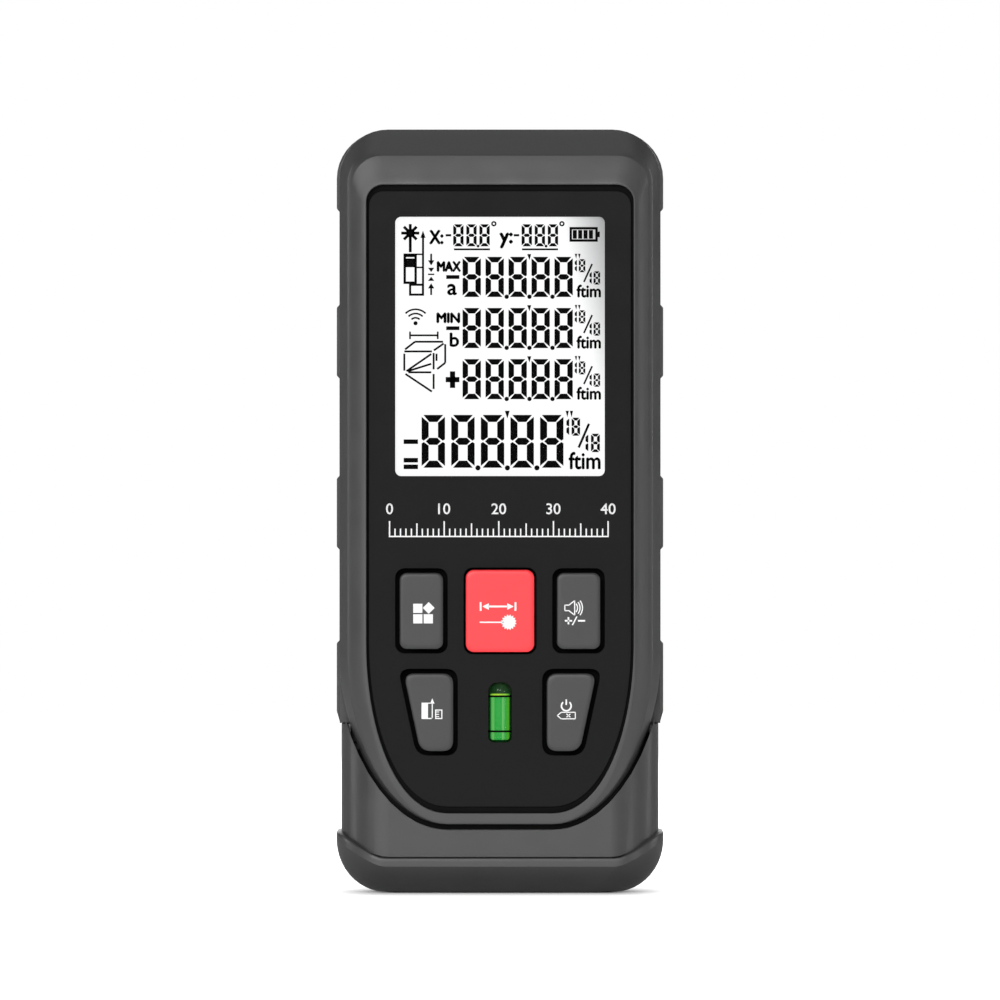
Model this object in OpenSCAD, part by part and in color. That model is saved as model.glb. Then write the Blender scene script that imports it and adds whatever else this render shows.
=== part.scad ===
// Laser distance meter, standing on its measuring end.
// X runs across the display, Y runs from the display (-Y) to the back (+Y), Z runs up the body.
// The origin is the centre of the resting face. All sizes are millimetres.

/* [Body] */
// Overall height, from the measuring end to the laser end
body_h = 116.6; // [115:0.2:119]
// Overall width, across the grip pads
body_w = 50; // [50:0.5:52]
// Overall depth, from the key faces to the back
body_d = 27; // [27:0.5:29]
// How far the grip pads stand out from the grip band
pad_proud = 0.5; // [0.3:0.1:0.6]
// Corner radius of the body, seen from the front
corner_r = 7.4; // [6.5:0.1:7.6]
// Wall thickness of the moulded shells
wall = 1.8; // [1.6:0.1:2]

/* [Front panel] */
// Width of the front panel
panel_w = 40; // [39.6:0.1:40.2]
// Thickness of the front panel
panel_t = 1; // [0.8:0.1:1.2]
// Depth of the panel's face below the bezel's face
panel_recess = 0.7; // [0.5:0.1:0.8]
// Width of the display window
window_w = 32; // [31:0.1:32.2]
// Height of the display window
window_h = 39.6; // [38:0.1:40]
// Height of the display window's centre above the base
window_z = 83.4; // [83:0.1:84]

/* [Keys] */
// How far a key stands out of the panel
key_proud = 1.2; // [1:0.1:1.3]
// Travel of a key
key_travel = 0.4; // [0.3:0.05:0.45]
// Running gap around a key in the panel
key_gap = 0.3; // [0.15:0.05:0.35]
// Height of the upper row of keys
key_h = 12.4; // [12:0.1:12.6]
// Width of the two side keys in the upper row
side_key_w = 7.4; // [7:0.1:7.6]
// Width of the measuring key
measure_key_w = 10.7; // [10:0.1:10.8]

/* [Bubble level] */
// Diameter of the vial
vial_d = 3.5; // [3.2:0.1:3.6]
// Length of the vial
vial_l = 9.1; // [8.6:0.1:9.2]
// Height of the vial's centre above the base
vial_z = 27.5; // [27.3:0.1:27.7]

/* [Optics] */
// Diameter of the receiving lens
receiver_d = 12; // [11:0.5:12.5]
// Diameter of the laser barrel
laser_d = 6.5; // [6:0.1:7]

/* [Batteries] */
// Diameter of an AAA cell
cell_d = 10.4; // [10.2:0.1:10.5]
// Length of an AAA cell with its nub
cell_l = 44.5; // [44:0.1:44.5]

/* [Tripod socket] */
// Radius of the drilled hole under the quarter-inch thread
tripod_hole_r = 2.55; // [2.5:0.05:2.6]
// Depth of the threaded hole
tripod_hole_l = 6; // [5:0.5:6]

/* [Hidden] */
$fn = 48;
arc_steps = 10; // steps in a quarter turn of a polygon outline
eps = 0.01;
gap = 0.1; // fitted gap between rigid pieces

// Planes across the depth
back_y = body_d / 2;
key_face_y = -body_d / 2;
bezel_y = key_face_y + key_proud - panel_recess; // bezel face
panel_y = bezel_y + panel_recess;
seat_y = panel_y + panel_t; // the front shell's outer face under the panel
shell_in_y = seat_y + 1.4; // the front shell's inner face
board_y = -6; // front face of the main board
board_t = 1.2;
board_back_y = board_y + board_t;
part_y = 1.5; // parting plane of the two shells
bezel_back_y = -5;
band_back_y = 9.5;
rear_in_y = back_y - wall;

// Half widths and heights
pad_x = body_w / 2;
side_x = pad_x - pad_proud + 0.05; // grip band and bezel
skin_x = side_x - 0.3; // the bare shells below the grip
core_x = side_x - 1.65; // the shells under the grip
cavity_x = core_x - wall;
core_top = body_h - 1.8;
cavity_top = core_top - wall;
core_bottom = 1.6;
cavity_bottom = core_bottom + wall;
bumper_floor = 2.7; // the shells' lower end inside the bumper
grip_end_z = 25.8; // lower end of the grip band
// The shells' front edges are round up to here, to stay inside the bezel's curved flanks
round_top_z = 34;
u_start_z = 36; // height where the bezel's sides start to curve in
bezel_bottom_z = 10.4;
groove = 0.9; // shadow gap under the bezel
opening_x = panel_w / 2 + 0.42;
opening_top = body_h - 8.5;
opening_bottom = 12.1;
panel_top = opening_top - 1;
panel_bottom = opening_bottom + 1;
bevel_h = 4; // height of the bevels at both ends
seam_front_z = 5.3; // the base bumper's upper edge at the front
seam_side_z = 9.4; // the base bumper's upper edge at the sides and back
lip_z = 8.5; // where the bumper's sides start to lean in
base_r_x = 7.4; // the bumper's lower corners, seen from the front
base_r_z = 8;

// Keys: [centre x, centre z, width, height]
key_z = 43;
side_key_x = 12;
low_key_top = 33.85;
low_key_bottom = 21.2;
low_key_in = 6.75; // inner edge of a lower key
low_key_out_top = 15.2;
low_key_out_bottom = 12.5;
low_stem_x = 10;
pad_centres = [32.8, 58, 84.2]; // heights of the three grip pads on each side
pad_l = 10.4;
low_stem_z = 28.6;
key_bevel = 0.25;
measure_extra = 0.4; // extra height of the measuring key
flange_y = shell_in_y + 0.1;
flange_t = 0.7;
flange_lip = 0.8;
stem_d = 2.6;
plunger_y = board_y - 1.5; // outer end of a switch plunger
switch_w = 5.2;
switch_t = 1.1;

// Battery bay
cell_x = 5.5;
cell_y = 6.3;
bay_bottom = 12;
bay_top = bay_bottom + cell_l + 3.6;
bay_x = 11.3;
bay_y = 0.9;
bay_wall = 1.1;
plate_t = 0.3;
spring_l = bay_top - bay_bottom - cell_l - 2 * plate_t;
door_x = 12.6;
door_bottom = bay_bottom - 1.2;
door_top = bay_top + 1.3;
door_y = rear_in_y + gap;
hinge_r = 0.8;
hinge_y = back_y - hinge_r;
hinge_z = door_top - hinge_r;
latch_x = 4;
latch_h = 9;
latch_travel = 1.2;
latch_nose = 0.8;

// Screws and tripod socket
screw_x = 18.2;
screw_zs = [14.5, 108.2];
boss_d = 5;
rear_boss_d = 6.4;
board_boss_d = 4.2;
head_d = 4;
tripod_z = 68.2;
insert_d = 9;

// Optics
lens_x = 5.5;
laser_x = -9.5;
optics_y = 2.9;
chassis_z0 = 76;
chassis_z1 = 111.4;
window_y0 = -3;
window_y1 = 8.8;
window_x = 17.2;

// ---- Outlines and helpers ----

function arc(c, r, a0, a1, n = arc_steps) =
    [for (i = [0:n]) let (a = a0 + (a1 - a0) * i / n) [c[0] + r * cos(a), c[1] + r * sin(a)]];

// Rounded rectangle between two corners, with one radius for the lower corners and one for the upper
function round_rect(lo, hi, r_low, r_high) = concat(
    arc([hi[0] - r_high, hi[1] - r_high], r_high, 0, 90),
    arc([lo[0] + r_high, hi[1] - r_high], r_high, 90, 180),
    arc([lo[0] + r_low, lo[1] + r_low], r_low, 180, 270),
    arc([hi[0] - r_low, lo[1] + r_low], r_low, 270, 360));

function bezier(p, n) = [for (i = [0:n]) let (t = i / n, s = 1 - t)
    p[0] * s * s * s + 3 * p[1] * s * s * t + 3 * p[2] * s * t * t + p[3] * t * t * t];

function mirrored(points) = [for (i = [len(points) - 1:-1:0]) [-points[i][0], points[i][1]]];

// Shield outline: round upper corners, straight sides, and a lower end that curves in to a flat foot
function shield(w, top, r, start, shoulder, knee, foot, bottom, n = 12) = let (
    side = bezier([[foot, bottom], [knee, bottom], [w, shoulder], [w, start]], n))
    concat(side, arc([w - r, top - r], r, 0, 90), arc([r - w, top - r], r, 90, 180), mirrored(side));

function bezel_outline(w, top, r, drop = 0) =
    shield(w, top, r, u_start_z, 24, 17.5 - (side_x - w) * 0.3, 8, bezel_bottom_z - drop);

function opening_outline(inset = 0, lift = 0) = shield(opening_x - inset, opening_top - lift,
    2.6 - inset, 38, 25, 16 - inset, 8, opening_bottom + lift);

// Corners of a lower key, mirrored for the right-hand side by its module
function low_key_corners(grow) = [
    [-low_key_out_top - grow * 1.235, low_key_top + grow],
    [-low_key_in + grow, low_key_top + grow],
    [-low_key_in + grow, low_key_bottom - grow],
    [-low_key_out_bottom - grow * 0.81, low_key_bottom - grow]];

// A polygon with each corner rounded by a short arc-like Bezier
function rounded(points, r) = [for (i = [0:len(points) - 1])
    let (p = points[i],
        a = points[(i + len(points) - 1) % len(points)],
        b = points[(i + 1) % len(points)],
        from = p + (a - p) * r / norm(a - p), to = p + (b - p) * r / norm(b - p))
    for (k = [0:5]) let (t = k / 5) from * (1 - t) * (1 - t) + 2 * p * t * (1 - t) + to * t * t];

// Outline in X and Z, drawn out along Y
module along_y(y0, y1) {
    translate([0, y1, 0]) rotate([90, 0, 0]) linear_extrude(y1 - y0) children();
}

// Outline in Y and Z, drawn out along X
module along_x(x0, x1) {
    translate([x0, 0, 0]) rotate([90, 0, 90]) linear_extrude(x1 - x0) children();
}

module rod_y(x, z, y0, y1, d) {
    translate([x, y1, z]) rotate([90, 0, 0]) cylinder(h = y1 - y0, d = d);
}

module block(lo, hi) {
    translate(lo) cube(hi - lo);
}

// Tube along a list of points; side is a direction that the path never takes
function unit(v) = v / norm(v);
function ring(path, i, r, sides, side) = let (
    ahead = path[min(i + 1, len(path) - 1)] - path[max(i - 1, 0)],
    t = unit(ahead),
    u = unit(cross(t, side)),
    v = cross(t, u))
    [for (k = [0:sides - 1]) path[i] + r * (u * cos(360 * k / sides) + v * sin(360 * k / sides))];
module tube(path, r, sides, side) {
    rings = len(path);
    points = [for (i = [0:rings - 1]) for (p = ring(path, i, r, sides, side)) p];
    skin = [for (i = [0:rings - 2]) for (k = [0:sides - 1])
        let (a = i * sides + k, b = i * sides + (k + 1) % sides) [a, b, b + sides, a + sides]];
    ends = [[for (k = [0:sides - 1]) k], [for (k = [sides - 1:-1:0]) (rings - 1) * sides + k]];
    polyhedron(points, concat([for (f = skin) [f[3], f[2], f[1], f[0]]], ends));
}

// ---- Housing ----

// The shells' outer form under the rubber parts
module core(y0, y1) {
    along_y(y0, y1) polygon(round_rect([-core_x, core_bottom], [core_x, core_top], 6.2, 5.6));
}

// Rounds the front edges of the shapes up to a height, to a half width and a front plane
module round_low_edges(half, front, r) {
    intersection() {
        children();
        union() {
            block([-30, -20, round_top_z], [30, 20, 130]);
            linear_extrude(round_top_z + eps) polygon(round_rect([-half, front], [half, 20], r, 1));
        }
    }
}

// Trims the shapes behind the slope of the bezel's top: a point low on it, and one high on it
module under_top_slope(low, high) {
    intersection() {
        children();
        along_x(-30, 30) polygon([[low[0], -1], [30, -1], [30, high[1]], high, low]);
    }
}

// The core as a tray for the panel, its lower front edges inside those of the bare body
module tray(y0, y1) {
    under_top_slope([-12.3, 110.96], [-7.84, 116])
        round_low_edges(core_x, seat_y, 6.2) core(y0, y1);
}

// The bare lower body, with large round edges at the front
module lower_skin() {
    intersection() {
        translate([0, 0, core_bottom]) linear_extrude(42)
            polygon(round_rect([-skin_x, bezel_y + 0.5], [skin_x, back_y - 0.1], 7.4, 4));
        along_y(-20, 20) polygon(round_rect([-skin_x, core_bottom], [skin_x, 60], 6.9, 4));
    }
}

// The bezel's outline drawn back to where the grip band starts
module bezel_cut(drop) {
    along_y(-20, bezel_back_y) polygon(bezel_outline(side_x + 0.5, body_h + 2, corner_r, drop));
}

// What lies outside the grip band's inner face
module grip_zone(y0, y1, z0) {
    difference() {
        block([-30, y0, z0], [30, y1, 130]);
        core(y0 - 1, y1 + 1);
    }
}

// The space that the base bumper fills, down to its inner core
module bumper_zone(lift = 0) {
    difference() {
        along_x(-30, 30) polygon(concat(
            [[20, -5], [20, seam_side_z + lift]],
            bezier([[-4.5, seam_side_z + lift], [-8, seam_side_z + lift],
                [-11, seam_front_z + 2 + lift], [-12.6, seam_front_z + lift]], 10),
            [[-20, seam_front_z + lift], [-20, -5]]));
        bumper_core();
    }
}

// The shells' lower end, which the bumper wraps
module bumper_core() {
    intersection() {
        along_y(-20, 20) polygon(round_rect([-core_x, bumper_floor], [core_x, 20], 5.4, 2));
        translate([0, 0, bumper_floor]) linear_extrude(20)
            polygon(round_rect([-core_x, seat_y], [core_x, back_y - 1.7], 6.4, 5));
    }
}

module shell_body() {
    difference() {
        union() {
            tray(seat_y, band_back_y);
            difference() {
                lower_skin();
                difference() {
                    bezel_cut(groove);
                    tray(seat_y, 0);
                }
                grip_zone(bezel_back_y - 3, band_back_y + 0.1, grip_end_z - 0.1);
            }
            back_skin();
        }
        bumper_zone();
    }
}

// The visible back of the rear shell, with its bevelled rim
module back_skin() {
    difference() {
        hull() {
            along_y(band_back_y + 0.1, band_back_y + 0.6)
                polygon(round_rect([-skin_x, core_bottom], [skin_x, body_h - 0.2], 6.9, corner_r));
            along_y(band_back_y + 2.4, band_back_y + 2.5)
                polygon(round_rect([-skin_x + 1, core_bottom], [skin_x - 1, body_h - 1.4], 6.4, 6.6));
            along_y(back_y - 0.1, back_y)
                polygon(round_rect([-skin_x + 3.2, core_bottom + 1], [skin_x - 3.2, body_h - 4], 5, 5));
        }
    }
}

module cavity(y0, y1) {
    under_top_slope([-12.3, 109.05], [-6.13, 116])
        round_low_edges(cavity_x, shell_in_y, 4.8) along_y(y0, y1)
        polygon(round_rect([-cavity_x, cavity_bottom], [cavity_x, cavity_top], 4.5, 4));
}

module screw_bosses(y0, y1, d) {
    for (side = [-1, 1], z = screw_zs) rod_y(side * screw_x, z, y0, y1, d);
}

// The hole in the shells' top wall for the light to pass
module light_slot() {
    block([-window_x + 1.2, window_y0 + 1, cavity_top - 1],
        [window_x - 1.2, window_y1 - 1, core_top + 1]);
}

module front_shell() {
    color("#4b4b4d") difference() {
        union() {
            difference() {
                intersection() {
                    shell_body();
                    block([-30, -20, 0], [30, part_y, 130]);
                }
                cavity(shell_in_y, part_y + 1);
            }
            screw_bosses(shell_in_y - 0.3, part_y, boss_d);
            for (p = board_screw_places) rod_y(p[0], p[1], shell_in_y - 0.3, board_y, board_boss_d);
        }
        screw_bosses(shell_in_y + 2, part_y + 1, 1.9);
        for (p = board_screw_places) rod_y(p[0], p[1], board_y - 2.6, board_y + 1, 1.82);
        // Display opening
        block([-17.7, seat_y - 1, 61.6], [17.7, shell_in_y + 1, 104.9]);
        // Key openings and the level's opening
        for (x = [-side_key_x, side_key_x]) key_block(x, side_key_w, 0, key_gap + 0.1, seat_y - 1,
            shell_in_y + 1);
        key_block(0, measure_key_w, measure_extra, key_gap, seat_y - 1, shell_in_y + 1);
        for (side = [0, 1]) mirror([side, 0, 0])
            along_y(seat_y - 1, shell_in_y + 1) polygon(rounded(low_key_corners(key_gap + 0.1), 1.8));
        block([-2.4, seat_y - 1, vial_z - 5.2], [2.4, shell_in_y + 1, vial_z + 5.2]);
        light_slot();
    }
}

module rear_shell() {
    color("#454547") difference() {
        union() {
            difference() {
                intersection() {
                    shell_body();
                    block([-30, part_y + 0.02, 0], [30, back_y + 1, 130]);
                }
                cavity(part_y - 1, rear_in_y);
            }
            // Battery bay
            block([-bay_x - bay_wall, bay_y - bay_wall, bay_bottom - bay_wall],
                [bay_x + bay_wall, rear_in_y + eps, bay_top + bay_wall]);
            // Frame round the door's opening
            block([-door_x - 1.4, rear_in_y - 1.6, door_bottom - 1.6],
                [door_x + 1.4, rear_in_y + eps, door_top + 3.2]);
            // Boss round the tripod insert, and the screw bosses
            rod_y(0, tripod_z, back_y - tripod_hole_l - 2.2, rear_in_y + eps, insert_d + 3);
            screw_bosses(part_y + 0.02, rear_in_y + eps, rear_boss_d);
        }
        block([-bay_x, bay_y, bay_bottom], [bay_x, back_y + 1, bay_top]);
        // Rebate for the door, with the catch for its latch and the pockets for its two lugs
        block([-door_x - gap, rear_in_y, door_bottom - gap],
            [door_x + gap, back_y + 1, door_top + gap]);
        block([-latch_x - 0.3, rear_in_y - 0.6, door_bottom - latch_nose - 0.3],
            [latch_x + 0.3, back_y - 0.7, door_bottom + 1]);
        for (side = [-1, 1]) block([side * 7.5 - 2.8, rear_in_y - 3, bay_top - 0.5],
            [side * 7.5 + 2.8, rear_in_y + 0.9, door_top + 2]);
        rod_y(0, tripod_z, back_y - tripod_hole_l - 1, back_y + 1, insert_d);
        // Clearance holes and counterbores for the housing screws
        screw_bosses(part_y - 1, back_y + 1, 2.6);
        screw_bosses(back_y - 3.2, back_y + 1, head_d + 0.6);
        // Shallow seat for the label
        along_y(back_y - 0.15, back_y + 1) polygon(label_outline(0.1));
        // Slots for the contact plates and the leads
        block([-bay_x + 0.6, bay_y - bay_wall - 1, bay_top - 0.8],
            [-bay_x + 2.6, bay_y + 1, bay_top + eps]);
        block([bay_x - 2.6, bay_y - bay_wall - 1, bay_top - 0.8],
            [bay_x - 0.6, bay_y + 1, bay_top + eps]);
        light_slot();
    }
}

// Steep flanks, a flat bevel across the top, and a face that rises gently to the panel's opening
module bezel_form() {
    hull() {
        along_y(-8.5, bezel_back_y) polygon(bezel_outline(side_x, body_h, corner_r));
        along_y(bezel_y + 0.95, bezel_y + 1) polygon(bezel_outline(side_x - 1.2, body_h - bevel_h, 4.6));
        along_y(bezel_y, bezel_y + 0.05) polygon(bezel_outline(side_x - 3.7, opening_top + 0.4, 3));
    }
}

module front_bezel() {
    color("#5b5b5d") difference() {
        bezel_form();
        along_y(-20, seat_y + 0.02) polygon(opening_outline());
        tray(seat_y, 0);
    }
}

module grip_pad(z0, z1, chamfer_low) {
    profile = [[side_x - 0.3, z0 - chamfer_low], [side_x - 0.1, z0 - chamfer_low], [pad_x, z0],
        [pad_x, z1],
        [side_x - 0.1, z1 + 0.5], [side_x - 0.3, z1 + 0.5]];
    for (side = [0, 1]) mirror([side, 0, 0]) along_y(bezel_back_y + 1.4, band_back_y - 1.6)
        polygon(profile);
}

module grip_band() {
    color("#525254") difference() {
        union() {
            along_y(bezel_back_y + 0.15, band_back_y)
                polygon(round_rect([-side_x, grip_end_z], [side_x, body_h], 0.3, corner_r));
            for (z = pad_centres) grip_pad(z - pad_l / 2, z + pad_l / 2,
                z == pad_centres[0] ? 1.6 : 0.5);
            // The top cap, as wide as the pads
            along_y(bezel_back_y + 1.4, band_back_y - 1.6) polygon(concat(
                arc([pad_x - corner_r - 0.4, body_h - corner_r - 0.4], corner_r + 0.4, 0, 90),
                arc([corner_r + 0.4 - pad_x, body_h - corner_r - 0.4], corner_r + 0.4, 90, 180),
                [[-pad_x, body_h - 12], [-side_x + 0.1, body_h - 12.5],
                [side_x - 0.1, body_h - 12.5], [pad_x, body_h - 12]]));
        }
        along_y(-20, 20) polygon(round_rect([-core_x - 0.02, -20],
            [core_x + 0.02, core_top + 0.02], 6, 5.6));
        block([-window_x - gap, window_y0 - gap, core_top - 1],
            [window_x + gap, window_y1 - 0.6 + gap, body_h + 1]);
    }
}

// The bumper's half width at a height, following the rounded lower corners
function bumper_x(z) = z >= base_r_z ? pad_x :
    pad_x - base_r_x * (1 - sqrt(1 - pow(1 - z / base_r_z, 2)));

module bumper_slice(z, x, front, back) {
    translate([0, 0, z]) linear_extrude(0.02) polygon(round_rect([-x, front],
        [x, back], 7.4 - (pad_x - x) * 0.45, 6 - (pad_x - x) * 0.4));
}

module base_bumper() {
    color("#4f4f51") difference() {
        intersection() {
            hull() {
                for (z = [0, 0.5, 1.2, 2.4])
                    bumper_slice(z, bumper_x(z), bezel_y + 3.2 - 0.8 * z, back_y - 3.4 + 0.8 * z);
                bumper_slice(4, bumper_x(4), bezel_y, back_y - 0.2);
                bumper_slice(base_r_z, pad_x, bezel_y, back_y - 0.2);
                bumper_slice(lip_z, pad_x, bezel_y, back_y - 0.2);
                bumper_slice(seam_side_z, skin_x - 0.05, bezel_y + 0.75, back_y - 0.95);
            }
            bumper_zone(-0.05);
        }
        block([-30, -20, 20], [30, 20, 40]);
    }
}

// ---- Front panel, display window and seal ----

module front_panel() {
    color("#2a2a2b") difference() {
        along_y(panel_y, seat_y - 0.02) polygon(opening_outline(0.42, 1));
        along_y(panel_y - 1, seat_y + 1) polygon(round_rect(
            [-window_w / 2, window_z - window_h / 2], [window_w / 2, window_z + window_h / 2], 0.9,
                0.9));
        for (x = [-side_key_x, side_key_x]) key_block(x, side_key_w, 0, key_gap, panel_y - 1,
            seat_y + 1);
        key_block(0, measure_key_w, measure_extra, key_gap - 0.1, panel_y - 1, seat_y + 1);
        for (side = [0, 1]) mirror([side, 0, 0])
            along_y(panel_y - 1, seat_y + 1) polygon(rounded(low_key_corners(key_gap), 1.8));
        along_y(panel_y - 1, seat_y + 1) polygon(vial_outline(0.05));
    }
}

// A soft black strip in the gap between the panel and the bezel
module panel_seal() {
    color("#0c0c0c") difference() {
        along_y(panel_y + 0.35, seat_y - 0.02) polygon(opening_outline(0.02, 0.02));
        along_y(panel_y - 1, seat_y + 1) polygon(opening_outline(0.4, 0.98));
    }
}

module display_window() {
    color("white", 0.25) along_y(panel_y + 0.12, seat_y - 0.1) polygon(round_rect(
        [-window_w / 2 + 0.05, window_z - window_h / 2 + 0.05],
        [window_w / 2 - 0.05, window_z + window_h / 2 - 0.05], 0.85, 0.85));
}

// ---- Keys ----

module key_block(x, w, extra, grow, y0, y1) {
    along_y(y0, y1) polygon(round_rect([x - w / 2 - grow, key_z - (key_h + extra) / 2 - grow],
        [x + w / 2 + grow, key_z + (key_h + extra) / 2 + grow], 1.3, 1.3));
}

// Bevelled cap, flange under the shell and stem on the switch, for a rectangular key
module upper_key(x, w, extra) {
    hull() {
        key_block(x, w, extra, 0, key_face_y + 0.55, key_face_y + 0.6);
        key_block(x, w, extra, -key_bevel, key_face_y, key_face_y + 0.05);
    }
    key_block(x, w, extra, 0, key_face_y + 0.6, flange_y + flange_t);
    key_block(x, w, extra, flange_lip, flange_y, flange_y + flange_t);
    rod_y(x, key_z, flange_y + flange_t - eps, plunger_y, stem_d);
}

module lower_key() {
    hull() {
        along_y(key_face_y + 0.55, key_face_y + 0.6) polygon(rounded(low_key_corners(0), 1.8));
        along_y(key_face_y, key_face_y + 0.05) polygon(rounded(low_key_corners(-key_bevel), 1.6));
    }
    along_y(key_face_y + 0.6, flange_y + flange_t) polygon(rounded(low_key_corners(0), 1.8));
    along_y(flange_y, flange_y + flange_t) polygon(rounded(low_key_corners(flange_lip), 1.8));
    rod_y(-low_stem_x, low_stem_z, flange_y + flange_t - eps, plunger_y, stem_d);
}

module menu_key() { color("#555557") upper_key(-side_key_x, side_key_w, 0); }
module measure_key() { color("#ff4a4a") upper_key(0, measure_key_w, measure_extra); }
module sound_key() { color("#555557") upper_key(side_key_x, side_key_w, 0); }
module reference_key() { color("#555557") lower_key(); }
module power_key() { color("#555557") mirror([1, 0, 0]) lower_key(); }

// Where the five switches sit: [x, z]
switch_places = [[-side_key_x, key_z], [0, key_z], [side_key_x, key_z],
    [-low_stem_x, low_stem_z], [low_stem_x, low_stem_z]];

module plunger(i) {
    color("#1c1c1c") rod_y(switch_places[i][0], switch_places[i][1], plunger_y, plunger_y + 0.95,
        stem_d);
}
module menu_plunger() { plunger(0); }
module measure_plunger() { plunger(1); }
module sound_plunger() { plunger(2); }
module reference_plunger() { plunger(3); }
module power_plunger() { plunger(4); }

module switch_housings() {
    color("#c9c9c4") for (p = switch_places) difference() {
        block([p[0] - switch_w / 2, board_y - switch_t, p[1] - switch_w / 2],
            [p[0] + switch_w / 2, board_y, p[1] + switch_w / 2]);
        rod_y(p[0], p[1], board_y - switch_t - 1, board_y - 0.1, stem_d + 0.2);
    }
}

// Silicone mat under the keys, with a sleeve hole for each stem
module keypad_seal() {
    color("#8c8f93") difference() {
        along_y(board_y - 2.25, board_y - 1.65)
            polygon(round_rect([-15.5, 19.6], [15.5, 50.6], 3, 2));
        for (p = switch_places) rod_y(p[0], p[1], board_y - 3, board_y - 1, stem_d + 0.6);
        block([-2.7, board_y - 3, vial_z - 5.6], [2.7, board_y - 1, vial_z + 5.6]);
    }
}

// ---- Bubble level ----

function vial_outline(grow) = round_rect([-vial_d / 2 - grow, vial_z - vial_l / 2 - grow],
    [vial_d / 2 + grow, vial_z + vial_l / 2 + grow], 0.9, 1.5);

vial_y = panel_y + vial_d / 2 - 0.15; // axis of the vial
vial_bore = 2.5;
fluid_top = vial_z + 2.55; // the fluid's surface, below the bubble

module vial_tube() {
    color("#7fe08a", 0.4) translate([0, vial_y, 0]) difference() {
        rotate_extrude() polygon(concat([[0, vial_z - vial_l / 2]],
            arc([vial_d / 2 - 0.8, vial_z - vial_l / 2 + 0.8], 0.8, -90, 0),
            arc([vial_d / 2 - 1.4, vial_z + vial_l / 2 - 1.4], 1.4, 0, 90),
                [[0, vial_z + vial_l / 2]]));
        translate([0, 0, vial_z - 3.8]) cylinder(h = 7.2, d = vial_bore);
    }
}

module vial_fluid() {
    color("#19a33a") translate([0, vial_y, 0]) difference() {
        translate([0, 0, vial_z - 3.8]) cylinder(h = fluid_top - vial_z + 3.8, d = vial_bore - 0.02);
        // The curved skin of the fluid under the bubble
        translate([0, 0, fluid_top + 2.1]) sphere(r = 2.4);
    }
}

module vial_rings() {
    color("#10301a") for (dz = [-2.9, 2.45]) translate([0, vial_y, vial_z + dz]) difference() {
        cylinder(h = 0.3, d = vial_d + 0.12, center = true);
        cylinder(h = 1, d = vial_d + 0.001, center = true);
    }
}

// White cradle that holds the vial from behind
module vial_cradle() {
    color("#e8e8e4") difference() {
        block([-2.3, vial_y, vial_z - 5], [2.3, board_y - 2.4, vial_z + 5]);
        translate([0, vial_y, vial_z - 4.65]) cylinder(h = 9.3, d = vial_d + 0.16);
    }
}

// ---- Display ----

module lcd_glass() {
    color("#dfe3e0") along_y(seat_y + 0.02, seat_y + 2) polygon(round_rect([-17.2, 62.2],
        [17.2, 104.6], 0.2, 0.2));
}

module backlight() {
    color("#f4f6f4") union() {
        block([-17, seat_y + 2.05, 63.6], [17, seat_y + 4.4, 104.4]);
        block([-6, seat_y + 2.05, 62.4], [6, seat_y + 4, 63.6]);
    }
}

// Moulded carrier that holds the display glass and its light on the board
module lcd_carrier() {
    color("#eeeeea") difference() {
        block([-18.4, shell_in_y + 0.05, 61.4], [18.4, board_y - 0.02, 105.4]);
        block([-17.3, shell_in_y - 1, 62.05], [17.3, seat_y + 4.5, 104.7]);
        block([-12, seat_y + 3, 66], [12, board_y + 1, 101]);
        block([-9, shell_in_y - 1, 61], [9, board_y + 1, 63.5]);
        screw_bosses(shell_in_y - 1, board_y + 1, boss_d + 0.4);
    }
}

module display_ribbon() {
    color("#b5792a") along_x(-8, 8) polygon([
        [seat_y + 2, 62.18], [seat_y + 2, 60.1], [board_y - 0.3, 58.2], [board_y - 0.02, 58.2],
            [board_y - 0.02, 55.6],
        [board_y - 0.2, 55.6], [board_y - 0.2, 58], [board_y - 0.35, 58], [seat_y + 1.8, 60],
            [seat_y + 1.8, 62.18]]);
}

// ---- Boards and electronics ----

module main_board() {
    color("#1d6b3a") difference() {
        along_y(board_y, board_back_y) polygon(round_rect([-20, 9], [20, 110.6], 3, 3));
        screw_bosses(board_y - 1, board_back_y + 1, boss_d + 0.5);
        for (p = board_screw_places) rod_y(p[0], p[1], board_y - 1, board_back_y + 1, 1.9);
        for (p = optics_screw_places) rod_y(p[0], p[1], board_y - 1, board_back_y + 1, 1.7);
    }
}

board_screw_places = [[-18, 56], [18, 56], [-18, 22], [18, 22]];

module board_screws() {
    color("silver") for (p = board_screw_places) union() {
        rod_y(p[0], p[1], board_y - 2.4, board_back_y + 0.1, 1.8);
        difference() {
            rod_y(p[0], p[1], board_back_y, board_back_y + 1, 3.4);
            for (turn = [0, 90]) translate([p[0], board_back_y + 0.9, p[1]]) rotate([0, turn, 0])
                cube([2, 0.8, 0.4], center = true);
        }
    }
}

module processor_chip() {
    color("#191919") union() {
        block([-5, board_back_y, 92], [5, board_back_y + 1.2, 102]);
        for (i = [0:9], side = [-1, 1])
            block([i - 4.65, board_back_y, 97 + side * 5.5 - 0.5],
                [i - 4.35, board_back_y + 0.3, 97 + side * 5.5 + 0.5]);
    }
}

module radio_module() {
    color("#a9adb0") union() {
        block([-16, board_back_y, 30], [-3, board_back_y + 0.8, 47]);
        block([-15.2, board_back_y + 0.8, 31], [-3.8, board_back_y + 2.2, 42.5]);
    }
}

module tilt_sensor() {
    color("#202022") block([8, board_back_y, 34], [12, board_back_y + 1, 38]);
}

module buzzer() {
    color("#151515") difference() {
        rod_y(8, 49, board_back_y, board_back_y + 3.2, 9);
        rod_y(8, 49, board_back_y + 2.6, board_back_y + 4, 1.6);
    }
}

// ---- Optics ----

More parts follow.
